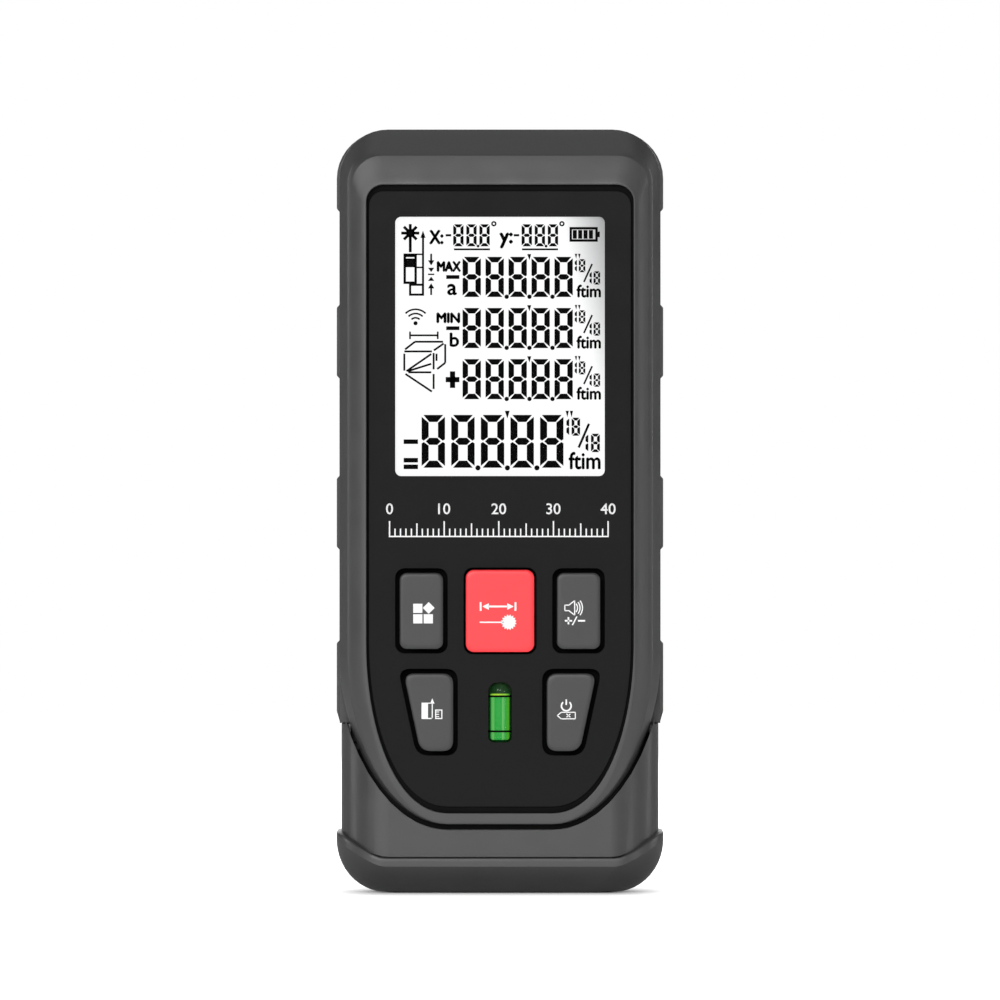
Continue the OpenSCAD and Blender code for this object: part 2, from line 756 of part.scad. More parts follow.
module optics_chassis() {
    color("#2f3133") difference() {
        union() {
            block([-14.6, window_y0 + 0.4, 88], [13.6, window_y1 + 0.4, chassis_z1]);
            block([-2.2, window_y0 + 0.4, chassis_z0], [13.2, window_y1 + 0.4, 88]);
            for (p = optics_screw_places) {
                side = sign(p[0]);
                rod_y(p[0], p[1], board_back_y + 0.02, window_y0 + 2, ear_d);
                block([min(p[0], p[0] - side * 4), board_back_y + 1, p[1] - ear_d / 2],
                    [max(p[0], p[0] - side * 4), window_y0 + 2, p[1] + ear_d / 2]);
            }
        }
        // Receiving cone: lens seat, then two steps down to the diode
        translate([lens_x, optics_y, chassis_z1 - 4.2]) cylinder(h = 10, d = receiver_d + 0.1);
        translate([lens_x, optics_y, 90]) cylinder(h = 30, d = receiver_d - 2.2);
        translate([lens_x, optics_y, chassis_z0 - 1]) cylinder(h = 30, d = 7);
        translate([laser_x, optics_y, 80]) cylinder(h = 40, d = laser_d + 0.1);
        for (p = optics_screw_places) rod_y(p[0], p[1], board_back_y - 1, window_y0 + 3, 1.7);
    }
}

optics_screw_places = [[-16.6, 91.5], [-16.6, 101.5], [15.6, 79], [15.6, 100]];
ear_d = 3.6;

module optics_screws() {
    color("silver") for (p = optics_screw_places) difference() {
        union() {
            rod_y(p[0], p[1], board_y + 0.01, window_y0 + 2.1, 1.68);
            rod_y(p[0], p[1], window_y0 + 2, window_y0 + 2.9, 3);
        }
        for (turn = [0, 90]) translate([p[0], window_y0 + 2.8, p[1]]) rotate([0, turn, 0])
            cube([1.8, 0.8, 0.4], center = true);
    }
}

module receiver_lens() {
    color("#cfe8ff", 0.5) translate([lens_x, optics_y, chassis_z1 - 4.15]) intersection() {
        cylinder(h = 4, d = receiver_d);
        translate([0, 0, 4 - 14]) sphere(r = 14);
    }
}

module laser_barrel() {
    color("#c9a24a") translate([laser_x, optics_y, 91]) difference() {
        union() {
            cylinder(h = 19.6, d = laser_d);
            translate([0, 0, -2.2]) cylinder(h = 2.3, d = 5.6);
        }
        translate([0, 0, 16]) cylinder(h = 6, d = 4.1);
        translate([0, 0, 3]) cylinder(h = 16, d = 2.6);
    }
}

module laser_lens() {
    color("#d8ecff", 0.5) translate([laser_x, optics_y, 107.1]) intersection() {
        cylinder(h = 2, d = 4);
        translate([0, 0, 2 - 4.5]) sphere(r = 4.5);
    }
}

module receiver_board() {
    color("#1d6b3a") block([lens_x - 7.2, window_y0 + 0.8, chassis_z0 - 1.1],
        [lens_x + 7.2, window_y1 - 0.2, chassis_z0 - 0.05]);
}

module receiver_diode() {
    color("#d2c489") translate([lens_x, optics_y, chassis_z0 - 0.05]) union() {
        cylinder(h = 0.6, d = 5.6);
        cylinder(h = 3, d = 4.7);
    }
}

module receiver_ribbon() {
    color("#b5792a") along_x(lens_x - 3, lens_x + 3) polygon([
        [window_y0 + 1.6, chassis_z0 - 1.12], [window_y0 + 1.6, chassis_z0 - 1.9],
            [board_back_y + 0.5, chassis_z0 - 3.6],
        [board_back_y + 0.02, chassis_z0 - 4.4], [board_back_y + 0.02, chassis_z0 - 6.4],
            [board_back_y + 0.2, chassis_z0 - 6.4],
        [board_back_y + 0.2, chassis_z0 - 4.5], [board_back_y + 0.6, chassis_z0 - 3.8],
            [window_y0 + 1.8, chassis_z0 - 2], [window_y0 + 1.8, chassis_z0 - 1.12]]);
}

module optics_window() {
    color("#151518") translate([0, 0, core_top + 0.02]) linear_extrude(1.2) polygon(round_rect(
        [-window_x, window_y0], [window_x, window_y1 - 0.6], 0.05, 0.05));
}

// ---- Label and tripod socket ----

function label_outline(grow) = round_rect([-15 - grow, 84 - grow], [15 + grow, 102 + grow], 1, 1);

// Blank sticker on the back
module rear_label() {
    color("#1d1d1f") along_y(back_y - 0.14, back_y) polygon(label_outline(0));
}

module tripod_insert() {
    color("#c6a04c") difference() {
        rod_y(0, tripod_z, back_y - tripod_hole_l - 0.9, back_y - 0.1, insert_d - 0.1);
        rod_y(0, tripod_z, back_y - 0.1 - tripod_hole_l, back_y + 1, tripod_hole_r * 2);
    }
}

// ---- Battery door, latch, cells and contacts ----

module battery_door() {
    color("#434345") difference() {
        union() {
            block([-door_x, door_y, door_bottom], [door_x, back_y, hinge_z]);
            // Rounded hinge edge
            translate([-door_x, hinge_y, hinge_z]) rotate([0, 90, 0]) cylinder(h = 2 * door_x,
                r = hinge_r);
            for (side = [-1, 1]) block([side * 7.5 - 2.4, door_y, hinge_z - 1.5],
                [side * 7.5 + 2.4, door_y + 0.7, door_top + 1.6]);
        }
        // Slot for the latch, with a thin floor and room for its travel
        block([-latch_x - 0.2, door_y + 0.4, door_bottom - 1],
            [latch_x + 0.2, back_y + 1, door_bottom + latch_h + latch_travel + 0.2]);
        // Grooves that guide the latch
        block([-latch_x - 0.7, door_y + 0.5, door_bottom - 1],
            [latch_x + 0.7, door_y + 1.2, door_bottom + latch_h - 1.8 + latch_travel]);
        // Finger grooves
        for (i = [0:3]) block([-8, back_y - 0.4, door_top - 8 - 2.2 * i],
            [8, back_y + 1, door_top - 7 - 2.2 * i]);
    }
}

module door_latch() {
    color("#3a3a3c") difference() {
        union() {
            block([-latch_x, door_y + 0.45, door_bottom],
                [latch_x, back_y - 0.1, door_bottom + latch_h]);
            block([-latch_x + 0.3, door_y + 0.45, door_bottom - latch_nose],
                [latch_x - 0.3, back_y - 0.8, door_bottom + 0.1]);
            // Side tongues
            block([-latch_x - 0.5, door_y + 0.6, door_bottom + 1],
                [latch_x + 0.5, door_y + 1.1, door_bottom + latch_h - 2]);
        }
        for (i = [0:2]) block([-2.8, back_y - 0.5, door_bottom + 2.4 + 1.8 * i],
            [2.8, back_y + 1, door_bottom + 3.2 + 1.8 * i]);
    }
}

// An AAA cell standing on its flat end, with its nub up
module cell() {
    cylinder(h = cell_l - 1, d = cell_d);
    cylinder(h = cell_l, d = 3.8);
}

module battery_left() {
    color("#3c6fb0") translate([-cell_x, cell_y, bay_bottom + plate_t + spring_l]) cell();
}

module battery_right() {
    color("#3c6fb0") translate([cell_x, cell_y, bay_bottom + plate_t + cell_l]) mirror([0, 0, 1])
        cell();
}

spring_wire_r = 0.25;
spring_turns = 3;
function spring_path(x, z0, up) = [for (i = [0:spring_turns * 12]) let (t = i / (spring_turns * 12),
    r = 3.2 - 1.2 * t, a = 360 * spring_turns * t * up)
    [x + r * cos(a), cell_y + r * sin(a), z0 + up * (spring_wire_r + t * (spring_l - 2 *
        spring_wire_r))]];

module battery_springs() {
    color("silver") union() {
        tube(spring_path(-cell_x, bay_bottom + plate_t + 0.01, 1), spring_wire_r, 6, [0, 0, 1]);
        tube(spring_path(cell_x, bay_top - plate_t - 0.01, -1), spring_wire_r, 6, [0, 0, 1]);
    }
}

module battery_link_plate() {
    color("silver") block([-bay_x + 0.3, bay_y + 0.3, bay_bottom + 0.01],
        [bay_x - 0.3, rear_in_y - 0.4, bay_bottom + plate_t]);
}

module battery_terminals() {
    color("silver") for (side = [-1, 1]) union() {
        block([side * cell_x - 4.7, bay_y + 0.3, bay_top - plate_t],
            [side * cell_x + 4.7, rear_in_y - 3.6, bay_top - 0.01]);
        block([side * (bay_x - 1.6) - 0.8, bay_y - 2.6, bay_top - plate_t],
            [side * (bay_x - 1.6) + 0.8, bay_y + 0.4, bay_top - 0.01]);
    }
}

// Leads from the terminal tabs down to the board
function lead_path(side) = bezier([[side * (bay_x - 1.6), bay_y - 2.2, bay_top - plate_t - 0.5],
    [side * (bay_x - 1.6), bay_y - 2.4, bay_top - 4], [side * 13.5, board_back_y + 2.6, bay_top - 5],
    [side * 13.5, board_back_y + 0.1, bay_top - 5]], 12);
module battery_leads() {
    color("#b02a2a") union() {
        for (side = [-1, 1]) tube(lead_path(side), 0.45, 8, [1, 0, 0]);
    }
}

module housing_screws() {
    color("silver") for (side = [-1, 1], z = screw_zs) translate([side * screw_x, 0, z]) difference() {
        union() {
            rod_y(0, 0, part_y - 6, back_y - 3, 1.88);
            rod_y(0, 0, back_y - 3.2 + 0.01, back_y - 1.4, head_d);
        }
        for (turn = [0, 90]) translate([0, back_y - 1.6, 0]) rotate([0, turn, 0]) cube([2.4, 1.2,
            0.5], center = true);
    }
}

front_shell();
rear_shell();
front_bezel();
grip_band();
base_bumper();
front_panel();
panel_seal();
display_window();
menu_key();
measure_key();
sound_key();
reference_key();
power_key();
menu_plunger();
measure_plunger();
sound_plunger();
reference_plunger();
power_plunger();
switch_housings();
keypad_seal();
vial_tube();
vial_fluid();
vial_rings();
vial_cradle();
lcd_glass();
backlight();
lcd_carrier();
display_ribbon();
main_board();
processor_chip();
radio_module();
tilt_sensor();
buzzer();
board_screws();
optics_chassis();
receiver_lens();
laser_barrel();
laser_lens();
receiver_board();
receiver_diode();
receiver_ribbon();
optics_screws();
optics_window();
tripod_insert();
rear_label();
battery_door();
door_latch();
battery_left();
battery_right();
battery_springs();
battery_link_plate();
battery_terminals();
battery_leads();
housing_screws();
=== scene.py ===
# %% [markdown]
# # A laser distance meter
#
# A laser distance meter is a small instrument that fits in one hand. A rubber frame runs round a
# dark front panel, which holds a display, five keys and a bubble level. This lesson builds its
# visible skin round a finished engineering model, one piece at a time. Each piece starts as a simple
# shape and is extruded, cut and bevelled as one would by hand. The engineering model brings the
# sizes, so every piece is placed from the boxes of its parts.

# %% Load the engineering model
import math

import bmesh
import bpy
from mathutils import Matrix, Vector


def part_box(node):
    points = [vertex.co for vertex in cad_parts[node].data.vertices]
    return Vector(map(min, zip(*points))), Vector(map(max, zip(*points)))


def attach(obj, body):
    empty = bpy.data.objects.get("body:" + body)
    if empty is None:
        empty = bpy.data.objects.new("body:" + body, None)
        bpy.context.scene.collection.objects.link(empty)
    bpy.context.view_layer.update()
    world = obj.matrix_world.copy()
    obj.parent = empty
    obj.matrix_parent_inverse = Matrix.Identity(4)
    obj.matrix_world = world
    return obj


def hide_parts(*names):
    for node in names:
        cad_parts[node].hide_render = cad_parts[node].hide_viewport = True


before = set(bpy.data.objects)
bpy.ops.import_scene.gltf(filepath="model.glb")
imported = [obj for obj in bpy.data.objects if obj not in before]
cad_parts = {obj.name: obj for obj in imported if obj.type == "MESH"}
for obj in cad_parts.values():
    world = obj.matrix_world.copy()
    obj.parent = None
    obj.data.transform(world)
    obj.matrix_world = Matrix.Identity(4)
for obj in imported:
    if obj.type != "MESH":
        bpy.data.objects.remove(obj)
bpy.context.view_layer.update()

MM = 0.001

# %% [markdown]
# ## Tools for the bench
#
# Most of the meter's pieces are mouldings: an outline that changes a little from layer to layer. They
# could be cut from blocks with booleans, but a stack of outlines gives clean, even faces and smooth
# highlights. So the first tool lays a circle onto an outline and extrudes it from layer to layer.

# %% Select nothing, and pick one piece
def drop_selection():
    if bpy.context.object and bpy.context.object.mode != "OBJECT":
        bpy.ops.object.mode_set(mode="OBJECT")
    bpy.ops.object.select_all(action="DESELECT")


def pick(*pieces):
    drop_selection()
    for piece in pieces:
        piece.select_set(True)
    bpy.context.view_layer.objects.active = pieces[0]


def box_mm(node):
    low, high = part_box(node)
    return [v / MM for v in low], [v / MM for v in high]


# %% Outlines, as lists of points in millimetres
def arc(cx, cz, radius, start, end, steps=10):
    angles = [math.radians(start + (end - start) * i / steps) for i in range(steps + 1)]
    return [(cx + radius * math.cos(a), cz + radius * math.sin(a)) for a in angles]


def rounded_box(x0, z0, x1, z1, low_r, high_r=None, steps=10):
    high_r = low_r if high_r is None else high_r
    return (arc(x1 - high_r, z1 - high_r, high_r, 0, 90, steps)
            + arc(x0 + high_r, z1 - high_r, high_r, 90, 180, steps)
            + arc(x0 + low_r, z0 + low_r, low_r, 180, 270, steps)
            + arc(x1 - low_r, z0 + low_r, low_r, 270, 360, steps))


def bezier(p0, p1, p2, p3, steps):
    points = []
    for i in range(steps + 1):
        t = i / steps
        s = 1 - t
        points.append(tuple(s ** 3 * a + 3 * s * s * t * b + 3 * s * t * t * c + t ** 3 * d
                            for a, b, c, d in zip(p0, p1, p2, p3)))
    return points


def rounded_corners(corners, radius, steps=7):
    points = []
    for i, here in enumerate(corners):
        before, after = Vector(corners[i - 1]), Vector(corners[(i + 1) % len(corners)])
        here = Vector(here)
        start = here + (before - here).normalized() * radius
        end = here + (after - here).normalized() * radius
        for k in range(steps + 1):
            t = k / steps
            points.append(tuple(start * (1 - t) ** 2 + here * 2 * t * (1 - t) + end * t * t))
    return points


def upright(outline, y):
    """An outline in X and Z, stood up at depth y, in metres."""
    return [Vector((x, y, z)) * MM for x, z in outline]


def level(outline, z):
    """An outline in X and Y, laid flat at height z, in metres."""
    return [Vector((x, y, z)) * MM for x, y in outline]


# %% Draw a skin through a stack of outlines
def lay_on(mesh, ring, outline):
    for index, place in zip(ring, outline):
        mesh.verts[index].co = place


def fill_ring(piece, ring):
    mesh = bmesh.from_edit_mesh(piece.data)
    mesh.verts.ensure_lookup_table()
    bpy.ops.mesh.select_all(action="DESELECT")
    for index in ring:
        mesh.verts[index].select = True
    mesh.select_flush_mode()
    bpy.ops.mesh.edge_face_add()


def skin(name, outlines, loop=False, caps=True):
    drop_selection()
    bpy.ops.mesh.primitive_circle_add(vertices=len(outlines[0]), radius=MM)
    piece = bpy.context.object
    piece.name = piece.data.name = name
    bpy.ops.object.mode_set(mode="EDIT")
    bpy.ops.mesh.select_all(action="SELECT")
    mesh = bmesh.from_edit_mesh(piece.data)
    mesh.verts.ensure_lookup_table()
    first = ring = list(range(len(outlines[0])))
    lay_on(mesh, ring, outlines[0])
    for outline in outlines[1:] + ([outlines[0]] if loop else []):
        count = len(mesh.verts)
        bpy.ops.mesh.extrude_edges_move()
        mesh = bmesh.from_edit_mesh(piece.data)
        mesh.verts.ensure_lookup_table()
        mesh.verts.index_update()
        new_ring = []
        for index in ring:
            ends = [edge.other_vert(mesh.verts[index]).index for edge in mesh.verts[index].link_edges]
            new_ring.append(next(end for end in ends if end >= count))
        ring = new_ring
        lay_on(mesh, ring, outline)
    bmesh.update_edit_mesh(piece.data)
    if caps and not loop:
        fill_ring(piece, first)
        fill_ring(piece, ring)
    bpy.ops.mesh.select_all(action="SELECT")
    bpy.ops.mesh.remove_doubles(threshold=0.002 * MM)
    bpy.ops.mesh.dissolve_degenerate(threshold=0.001 * MM)
    bpy.ops.mesh.normals_make_consistent(inside=False)
    bpy.ops.object.mode_set(mode="OBJECT")
    return piece


# %% Cut, bevel, join and smooth, as by hand
def use_modifier(piece, kind, **settings):
    pick(piece)
    bpy.ops.object.modifier_add(type=kind)
    modifier = piece.modifiers[-1]
    for key, value in settings.items():
        setattr(modifier, key, value)
    bpy.ops.object.modifier_apply(modifier=modifier.name)
    return piece


def bevel(piece, width, segments=3, angle=35):
    return use_modifier(piece, "BEVEL", width=width * MM, segments=segments, limit_method="ANGLE",
                        angle_limit=math.radians(angle), use_clamp_overlap=True, miter_outer="MITER_ARC")


def cut(piece, cutter, operation="DIFFERENCE"):
    use_modifier(piece, "BOOLEAN", operation=operation, object=cutter, solver="EXACT")
    bpy.data.objects.remove(cutter)
    return piece


def join(*pieces):
    pick(*pieces)
    bpy.ops.object.join()
    return pieces[0]


def smooth(piece, angle=32, flat_axis=None):
    """Smooths the shading; faces that look straight along flat_axis stay exactly flat."""
    pick(piece)
    bpy.ops.object.shade_smooth_by_angle(angle=math.radians(angle))
    if flat_axis is None:
        return use_modifier(piece, "WEIGHTED_NORMAL", keep_sharp=True)
    for face in piece.data.polygons:
        if abs(face.normal[flat_axis]) > 0.9999:
            face.use_smooth = False
    return piece


def block(name, low, high, edge=0.0):
    """A block between two corners, with its edges bevelled."""
    drop_selection()
    bpy.ops.mesh.primitive_cube_add(size=1)
    piece = bpy.context.object
    piece.name = piece.data.name = name
    centre = [(a + b) / 2 * MM for a, b in zip(low, high)]
    size = [(b - a) * MM for a, b in zip(low, high)]
    piece.data.transform(Matrix.Translation(centre) @ Matrix.Diagonal((*size, 1)))
    return bevel(piece, edge) if edge else piece


def from_model(name, node, edge, angle=30):
    """A merged copy of an engineering part, with the soft edges that a moulding has."""
    drop_selection()
    piece = bpy.data.objects.new(name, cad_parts[node].data.copy())
    bpy.context.collection.objects.link(piece)
    piece.data.name = name
    piece.data.materials.clear()
    pick(piece)
    bpy.ops.mesh.customdata_custom_splitnormals_clear()
    bpy.ops.object.mode_set(mode="EDIT")
    bpy.ops.mesh.select_all(action="SELECT")
    bpy.ops.mesh.remove_doubles(threshold=0.003 * MM)
    bpy.ops.mesh.dissolve_limited(angle_limit=math.radians(1))
    bpy.ops.object.mode_set(mode="OBJECT")
    if edge:
        bevel(piece, edge, segments=2, angle=angle)
    return smooth(piece)


def place(piece, body, slot, finish, *stands_for):
    piece.data.materials.clear()
    piece.data.materials.append(finish)
    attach(piece, body)
    if stands_for:
        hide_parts(*stands_for)
    print(f"{piece.name}: {len(piece.data.polygons)} faces on {body}")
    return piece


# %% [markdown]
# ## Finishes
#
# Every finish is made from nodes that read the piece's own coordinates: fine noise for the moulded
# grain, and slower noise for the slight change in colour and gloss that handling leaves. A picture
# wrapped round the meter would show seams and blur up close. Noise has detail at every distance.

# %% A finish with grain, mottling and uneven gloss
def colour_stops(ramp, stops):
    """Sets a ramp's first and last stop, and then any that lie between them."""
    marks = ramp.color_ramp.elements
    for number, (where, colour) in enumerate(stops):
        mark = marks[number] if number < 2 else marks.new(where)
        mark.position = where
        mark.color = (*colour, 1)


def finish(name, colour, roughness, grain=0.2, depth=0.01, mottle=0.08, gloss=0.06, metal=0.0,
           specular=0.5, alpha=1.0, coat=0.0, patch=6.0):
    material = bpy.data.materials.new(name)
    material.use_nodes = True
    nodes, links = material.node_tree.nodes, material.node_tree.links
    shader = nodes["Principled BSDF"]
    shader.inputs["Metallic"].default_value = metal
    shader.inputs["Specular IOR Level"].default_value = specular
    shader.inputs["Alpha"].default_value = alpha
    shader.inputs["Coat Weight"].default_value = coat
    shader.inputs["Coat Roughness"].default_value = 0.1
    place_on = nodes.new("ShaderNodeTexCoord")

    slow = nodes.new("ShaderNodeTexNoise")
    slow.inputs["Scale"].default_value = 1 / (patch * MM)
    slow.inputs["Detail"].default_value = 3
    links.new(place_on.outputs["Object"], slow.inputs["Vector"])
    tone = nodes.new("ShaderNodeValToRGB")
    colour_stops(tone, [(0.3, [c * (1 - mottle) for c in colour]),
                        (0.7, [min(1, c * (1 + mottle)) for c in colour])])
    links.new(slow.outputs["Fac"], tone.inputs["Fac"])
    links.new(tone.outputs["Color"], shader.inputs["Base Color"])

    wear = nodes.new("ShaderNodeMapRange")
    wear.inputs["From Min"].default_value = 0.3
    wear.inputs["From Max"].default_value = 0.7
    wear.inputs["To Min"].default_value = max(0.02, roughness - gloss)
    wear.inputs["To Max"].default_value = min(1, roughness + gloss)
    links.new(slow.outputs["Fac"], wear.inputs["Value"])
    links.new(wear.outputs["Result"], shader.inputs["Roughness"])

    fine = nodes.new("ShaderNodeTexNoise")
    fine.inputs["Scale"].default_value = 1 / (grain * MM)
    fine.inputs["Detail"].default_value = 2
    links.new(place_on.outputs["Object"], fine.inputs["Vector"])
    bump = nodes.new("ShaderNodeBump")
    bump.inputs["Strength"].default_value = 0.5
    bump.inputs["Distance"].default_value = depth * MM
    links.new(fine.outputs["Fac"], bump.inputs["Height"])
    links.new(bump.outputs["Normal"], shader.inputs["Normal"])
    material.diffuse_color = (*colour, 1)
    return material


# %% The outside: rubber, moulded shell, panel film and keys
rubber = finish("bezel_rubber", (0.045, 0.045, 0.0455), 0.4, grain=0.12, depth=0.006, mottle=0.05)
grip_rubber = finish("grip_rubber", (0.045, 0.045, 0.0455), 0.48, grain=0.16, depth=0.012, mottle=0.07)
shell = finish("shell_moulding", (0.04, 0.04, 0.0405), 0.36, grain=0.25, depth=0.01, mottle=0.05)
rear_shell_finish = finish("rear_moulding", (0.04, 0.04, 0.0405), 0.45, grain=0.35, depth=0.03, mottle=0.06)
panel_film = finish("panel_film", (0.0065, 0.0065, 0.0067), 0.4, grain=0.1, depth=0.002, specular=0.1,
                    mottle=0.04)
seal_and_painted_shade_black = finish("seal_rubber", (0.004, 0.004, 0.004), 0.8, specular=0.1)
key_silicone = finish("key_silicone", (0.033, 0.033, 0.034), 0.42, grain=0.1, depth=0.004, mottle=0.03)
key_red = finish("measure_red", (0.98, 0.035, 0.045), 0.42, grain=0.1, depth=0.003, mottle=0.03)
white_ink = finish("white_ink", (0.86, 0.86, 0.86), 0.5, mottle=0.02, gloss=0.03)
black_plastic = finish("black_moulding", (0.012, 0.012, 0.012), 0.5, grain=0.3, depth=0.01)

# %% Glass, display film, ink and the level's liquid
clear_window = finish("clear_window", (0.005, 0.005, 0.005), 0.12, alpha=0.02, specular=0.1, depth=0.0005,
                      mottle=0.01, gloss=0.02)
display_ink = finish("display_ink", (0.002, 0.002, 0.002), 0.6, specular=0.02)
vial_acrylic = finish("vial_acrylic", (0.02, 0.16, 0.04), 0.06, alpha=0.16, depth=0.0005, gloss=0.02)
vial_liquid = finish("vial_liquid", (0.004, 0.06, 0.01), 0.15, depth=0.0005, mottle=0.12, patch=2.5)
vial_edge = finish("vial_meniscus", (0.25, 0.5, 0.02), 0.2, depth=0.0005, mottle=0.2, patch=0.8)
lens_glass = finish("lens_glass", (0.75, 0.9, 0.98), 0.04, alpha=0.3, depth=0.0004, gloss=0.02, coat=1.0)
smoked_window = finish("smoked_window", (0.03, 0.004, 0.006), 0.24, alpha=0.8, specular=0.12, depth=0.0005)

# %% The inside: boards, chips, metals, cells
white_plastic = finish("white_moulding", (0.78, 0.78, 0.75), 0.45)
diffuser = finish("diffuser", (0.9, 0.92, 0.9), 0.3, mottle=0.02)
polyimide = finish("ribbon_film", (0.5, 0.2, 0.03), 0.3, mottle=0.15, patch=1.5)
chip_black = finish("chip_epoxy", (0.016, 0.016, 0.017), 0.55, grain=0.1)
tin = finish("tinned_steel", (0.62, 0.63, 0.64), 0.3, metal=1.0, grain=0.3, depth=0.004, patch=3)
steel = finish("zinc_screw", (0.5, 0.5, 0.49), 0.28, metal=1.0, grain=0.25, depth=0.006, patch=1.5)
brass = finish("turned_brass", (0.75, 0.5, 0.19), 0.25, metal=1.0, grain=0.25, depth=0.005, patch=2)
casting = finish("black_casting", (0.03, 0.032, 0.034), 0.55, grain=0.4, depth=0.03)
ceramic = finish("detector_ceramic", (0.6, 0.52, 0.3), 0.35)
silicone_mat = finish("silicone_mat", (0.27, 0.28, 0.3), 0.6)
label_film = finish("label_film", (0.02, 0.02, 0.021), 0.25, depth=0.001, mottle=0.03)
lead_red = finish("lead_insulation", (0.5, 0.025, 0.02), 0.4)
nickel = finish("nickel_plate", (0.7, 0.69, 0.66), 0.2, metal=1.0, grain=0.3, depth=0.003, patch=2)

# %% [markdown]
# ## The display's film
#
# The readout is a sheet of pale grey film, with painted shade that darkens it towards one corner. A
# picture of a gradient would do, but a ramp along the sheet's own coordinates needs no file. It feeds
# a soft glow, which keeps the sheet readable in any light, and the level's liquid gets its painted
# highlight streaks in the same way.

# %% A gradient that a finish can glow with
def add_gradient(material, axis, low, high, colours):
    nodes, links = material.node_tree.nodes, material.node_tree.links
    place_on = nodes.new("ShaderNodeTexCoord")
    along = nodes.new("ShaderNodeVectorMath")
    along.operation = "DOT_PRODUCT"
    along.inputs[1].default_value = axis
    links.new(place_on.outputs["Object"], along.inputs[0])
    span = nodes.new("ShaderNodeMapRange")
    span.inputs["From Min"].default_value = low * MM
    span.inputs["From Max"].default_value = high * MM
    links.new(along.outputs["Value"], span.inputs["Value"])
    ramp = nodes.new("ShaderNodeValToRGB")
    colour_stops(ramp, colours)
    links.new(span.outputs["Result"], ramp.inputs["Fac"])
    return ramp


def glow_with(material, ramp, strength):
    """Lets a gradient shine from a finish."""
    shader = material.node_tree.nodes["Principled BSDF"]
    material.node_tree.links.new(ramp.outputs["Color"], shader.inputs["Emission Color"])
    shader.inputs["Emission Strength"].default_value = strength


# %% Film that is pale at the left, with painted shade towards its upper right corner
display_film = finish("display_film", (0.12, 0.12, 0.12), 0.5, specular=0.1, mottle=0.02, depth=0.0005)
pale, half_shade, shade = (0.98, 0.985, 0.985), (0.6, 0.605, 0.61), (0.26, 0.265, 0.27)
# The grey towards the upper right corner is painted shade, carried by the glow.
glow_with(display_film, add_gradient(display_film, (1.0, 0, 0.22), 32, 39, [
    (0.0, pale), (1.0, shade), (0.5, half_shade)]), 0.94)

# %% Green liquid that glows, with painted highlight streaks and painted shade at its edges
painted_highlight, green = (0.2, 0.6, 0.16), (0.02, 0.4, 0.045)
painted_lit_green, painted_edge_shade, painted_brim_highlight = (0.09, 0.45, 0.02), (0.006, 0.12, 0.02), (0.45, 0.62, 0.05)
across_tube, tube_side = (1.0, 0, 0), 1.75
# Painted highlights: two bright streaks and a lighter right side. The darker edges are painted shade, and the
# glow is painted light.
glow_with(vial_liquid, add_gradient(vial_liquid, across_tube, -tube_side, tube_side, [
    (0.0, painted_edge_shade), (1.0, painted_edge_shade), (0.1, green), (0.2, painted_highlight), (0.28, green), (0.56, green), (0.62, painted_highlight),
    (0.7, green), (0.86, painted_lit_green)]), 0.85)
# The brim's bright band is a painted highlight, and its glow is painted light.
glow_with(vial_edge, add_gradient(vial_edge, across_tube, -tube_side, tube_side, [
    (0.0, painted_lit_green), (1.0, green), (0.4, painted_brim_highlight)]), 0.7)
print(len(bpy.data.materials), "finishes so far")

# %% [markdown]
# ## The front frame
#
# The front frame is a soft moulding shaped like a shield. Its flanks are steep, a flat bevel runs
# across the top, and its face rises gently to the panel's opening. Each layer below is the same
# shield, a little smaller and a little further forward, so a stack of outlines suits it well.

# %% Measure the frame from the model
frame_low, frame_high = box_mm("front_bezel")
panel_low, panel_high = box_mm("front_panel")
band_low, band_high = box_mm("grip_band")
grip_foot = band_low[2]
side_x = frame_high[0]
top_z = frame_high[2]
frame_face_y = frame_low[1]
frame_back_y = frame_high[1]
foot_z = frame_low[2]
seat_y = panel_high[1]
CORNER_R = 7.4
PANEL_GAP = 0.42
opening_x = panel_high[0] + PANEL_GAP
opening_top = panel_high[2] + 1
opening_foot = panel_low[2] - 1
print("front frame from", foot_z, "to", top_z, "mm, half width", round(side_x, 2))


# %% Shields: the frame's outline and the opening's outline
def shield(half, top, corner, start, shoulder, knee, foot, bottom, steps=22):
    """Straight sides above the height start, and a curve from there to the half width foot at the bottom."""
    right = bezier((foot, bottom), (knee, bottom), (half, shoulder), (half, start), steps)
    left = [(-x, z) for x, z in reversed(right)]
    return right + arc(half - corner, top - corner, corner, 0, 90) \
        + arc(corner - half, top - corner, corner, 90, 180) + left


def frame_outline(inset, drop, corner, rise=0.0):
    return shield(side_x - inset, top_z - drop, corner, start=36, shoulder=24, knee=17.5 - inset * 0.3,
                  foot=8, bottom=foot_z + rise)


def opening_outline(inset, lift=None):
    lift = inset if lift is None else lift
    return shield(opening_x - inset, opening_top - lift, 2.6 - min(inset, PANEL_GAP), start=38, shoulder=25,
                  knee=16 - inset, foot=8, bottom=opening_foot + lift)


# %% Where the frame ends at its back
TRAY_ROUND = 6.2
ROUND_TOP = 34.0
FRAME_WALL = 1.65


def frame_back(x, z):
    """The frame reaches back to the band, and lower down to the round front of the tray."""
    over = abs(x) - (side_x - FRAME_WALL - TRAY_ROUND)
    if z > ROUND_TOP or over >= TRAY_ROUND:
        return frame_back_y
    return seat_y if over <= 0 else seat_y + TRAY_ROUND - math.sqrt(TRAY_ROUND ** 2 - over ** 2)


def against_tray(outline, gap):
    """An outline stood up a gap in front of what lies behind the frame."""
    return [Vector((x, frame_back(x, z) - gap, z)) * MM for x, z in outline]


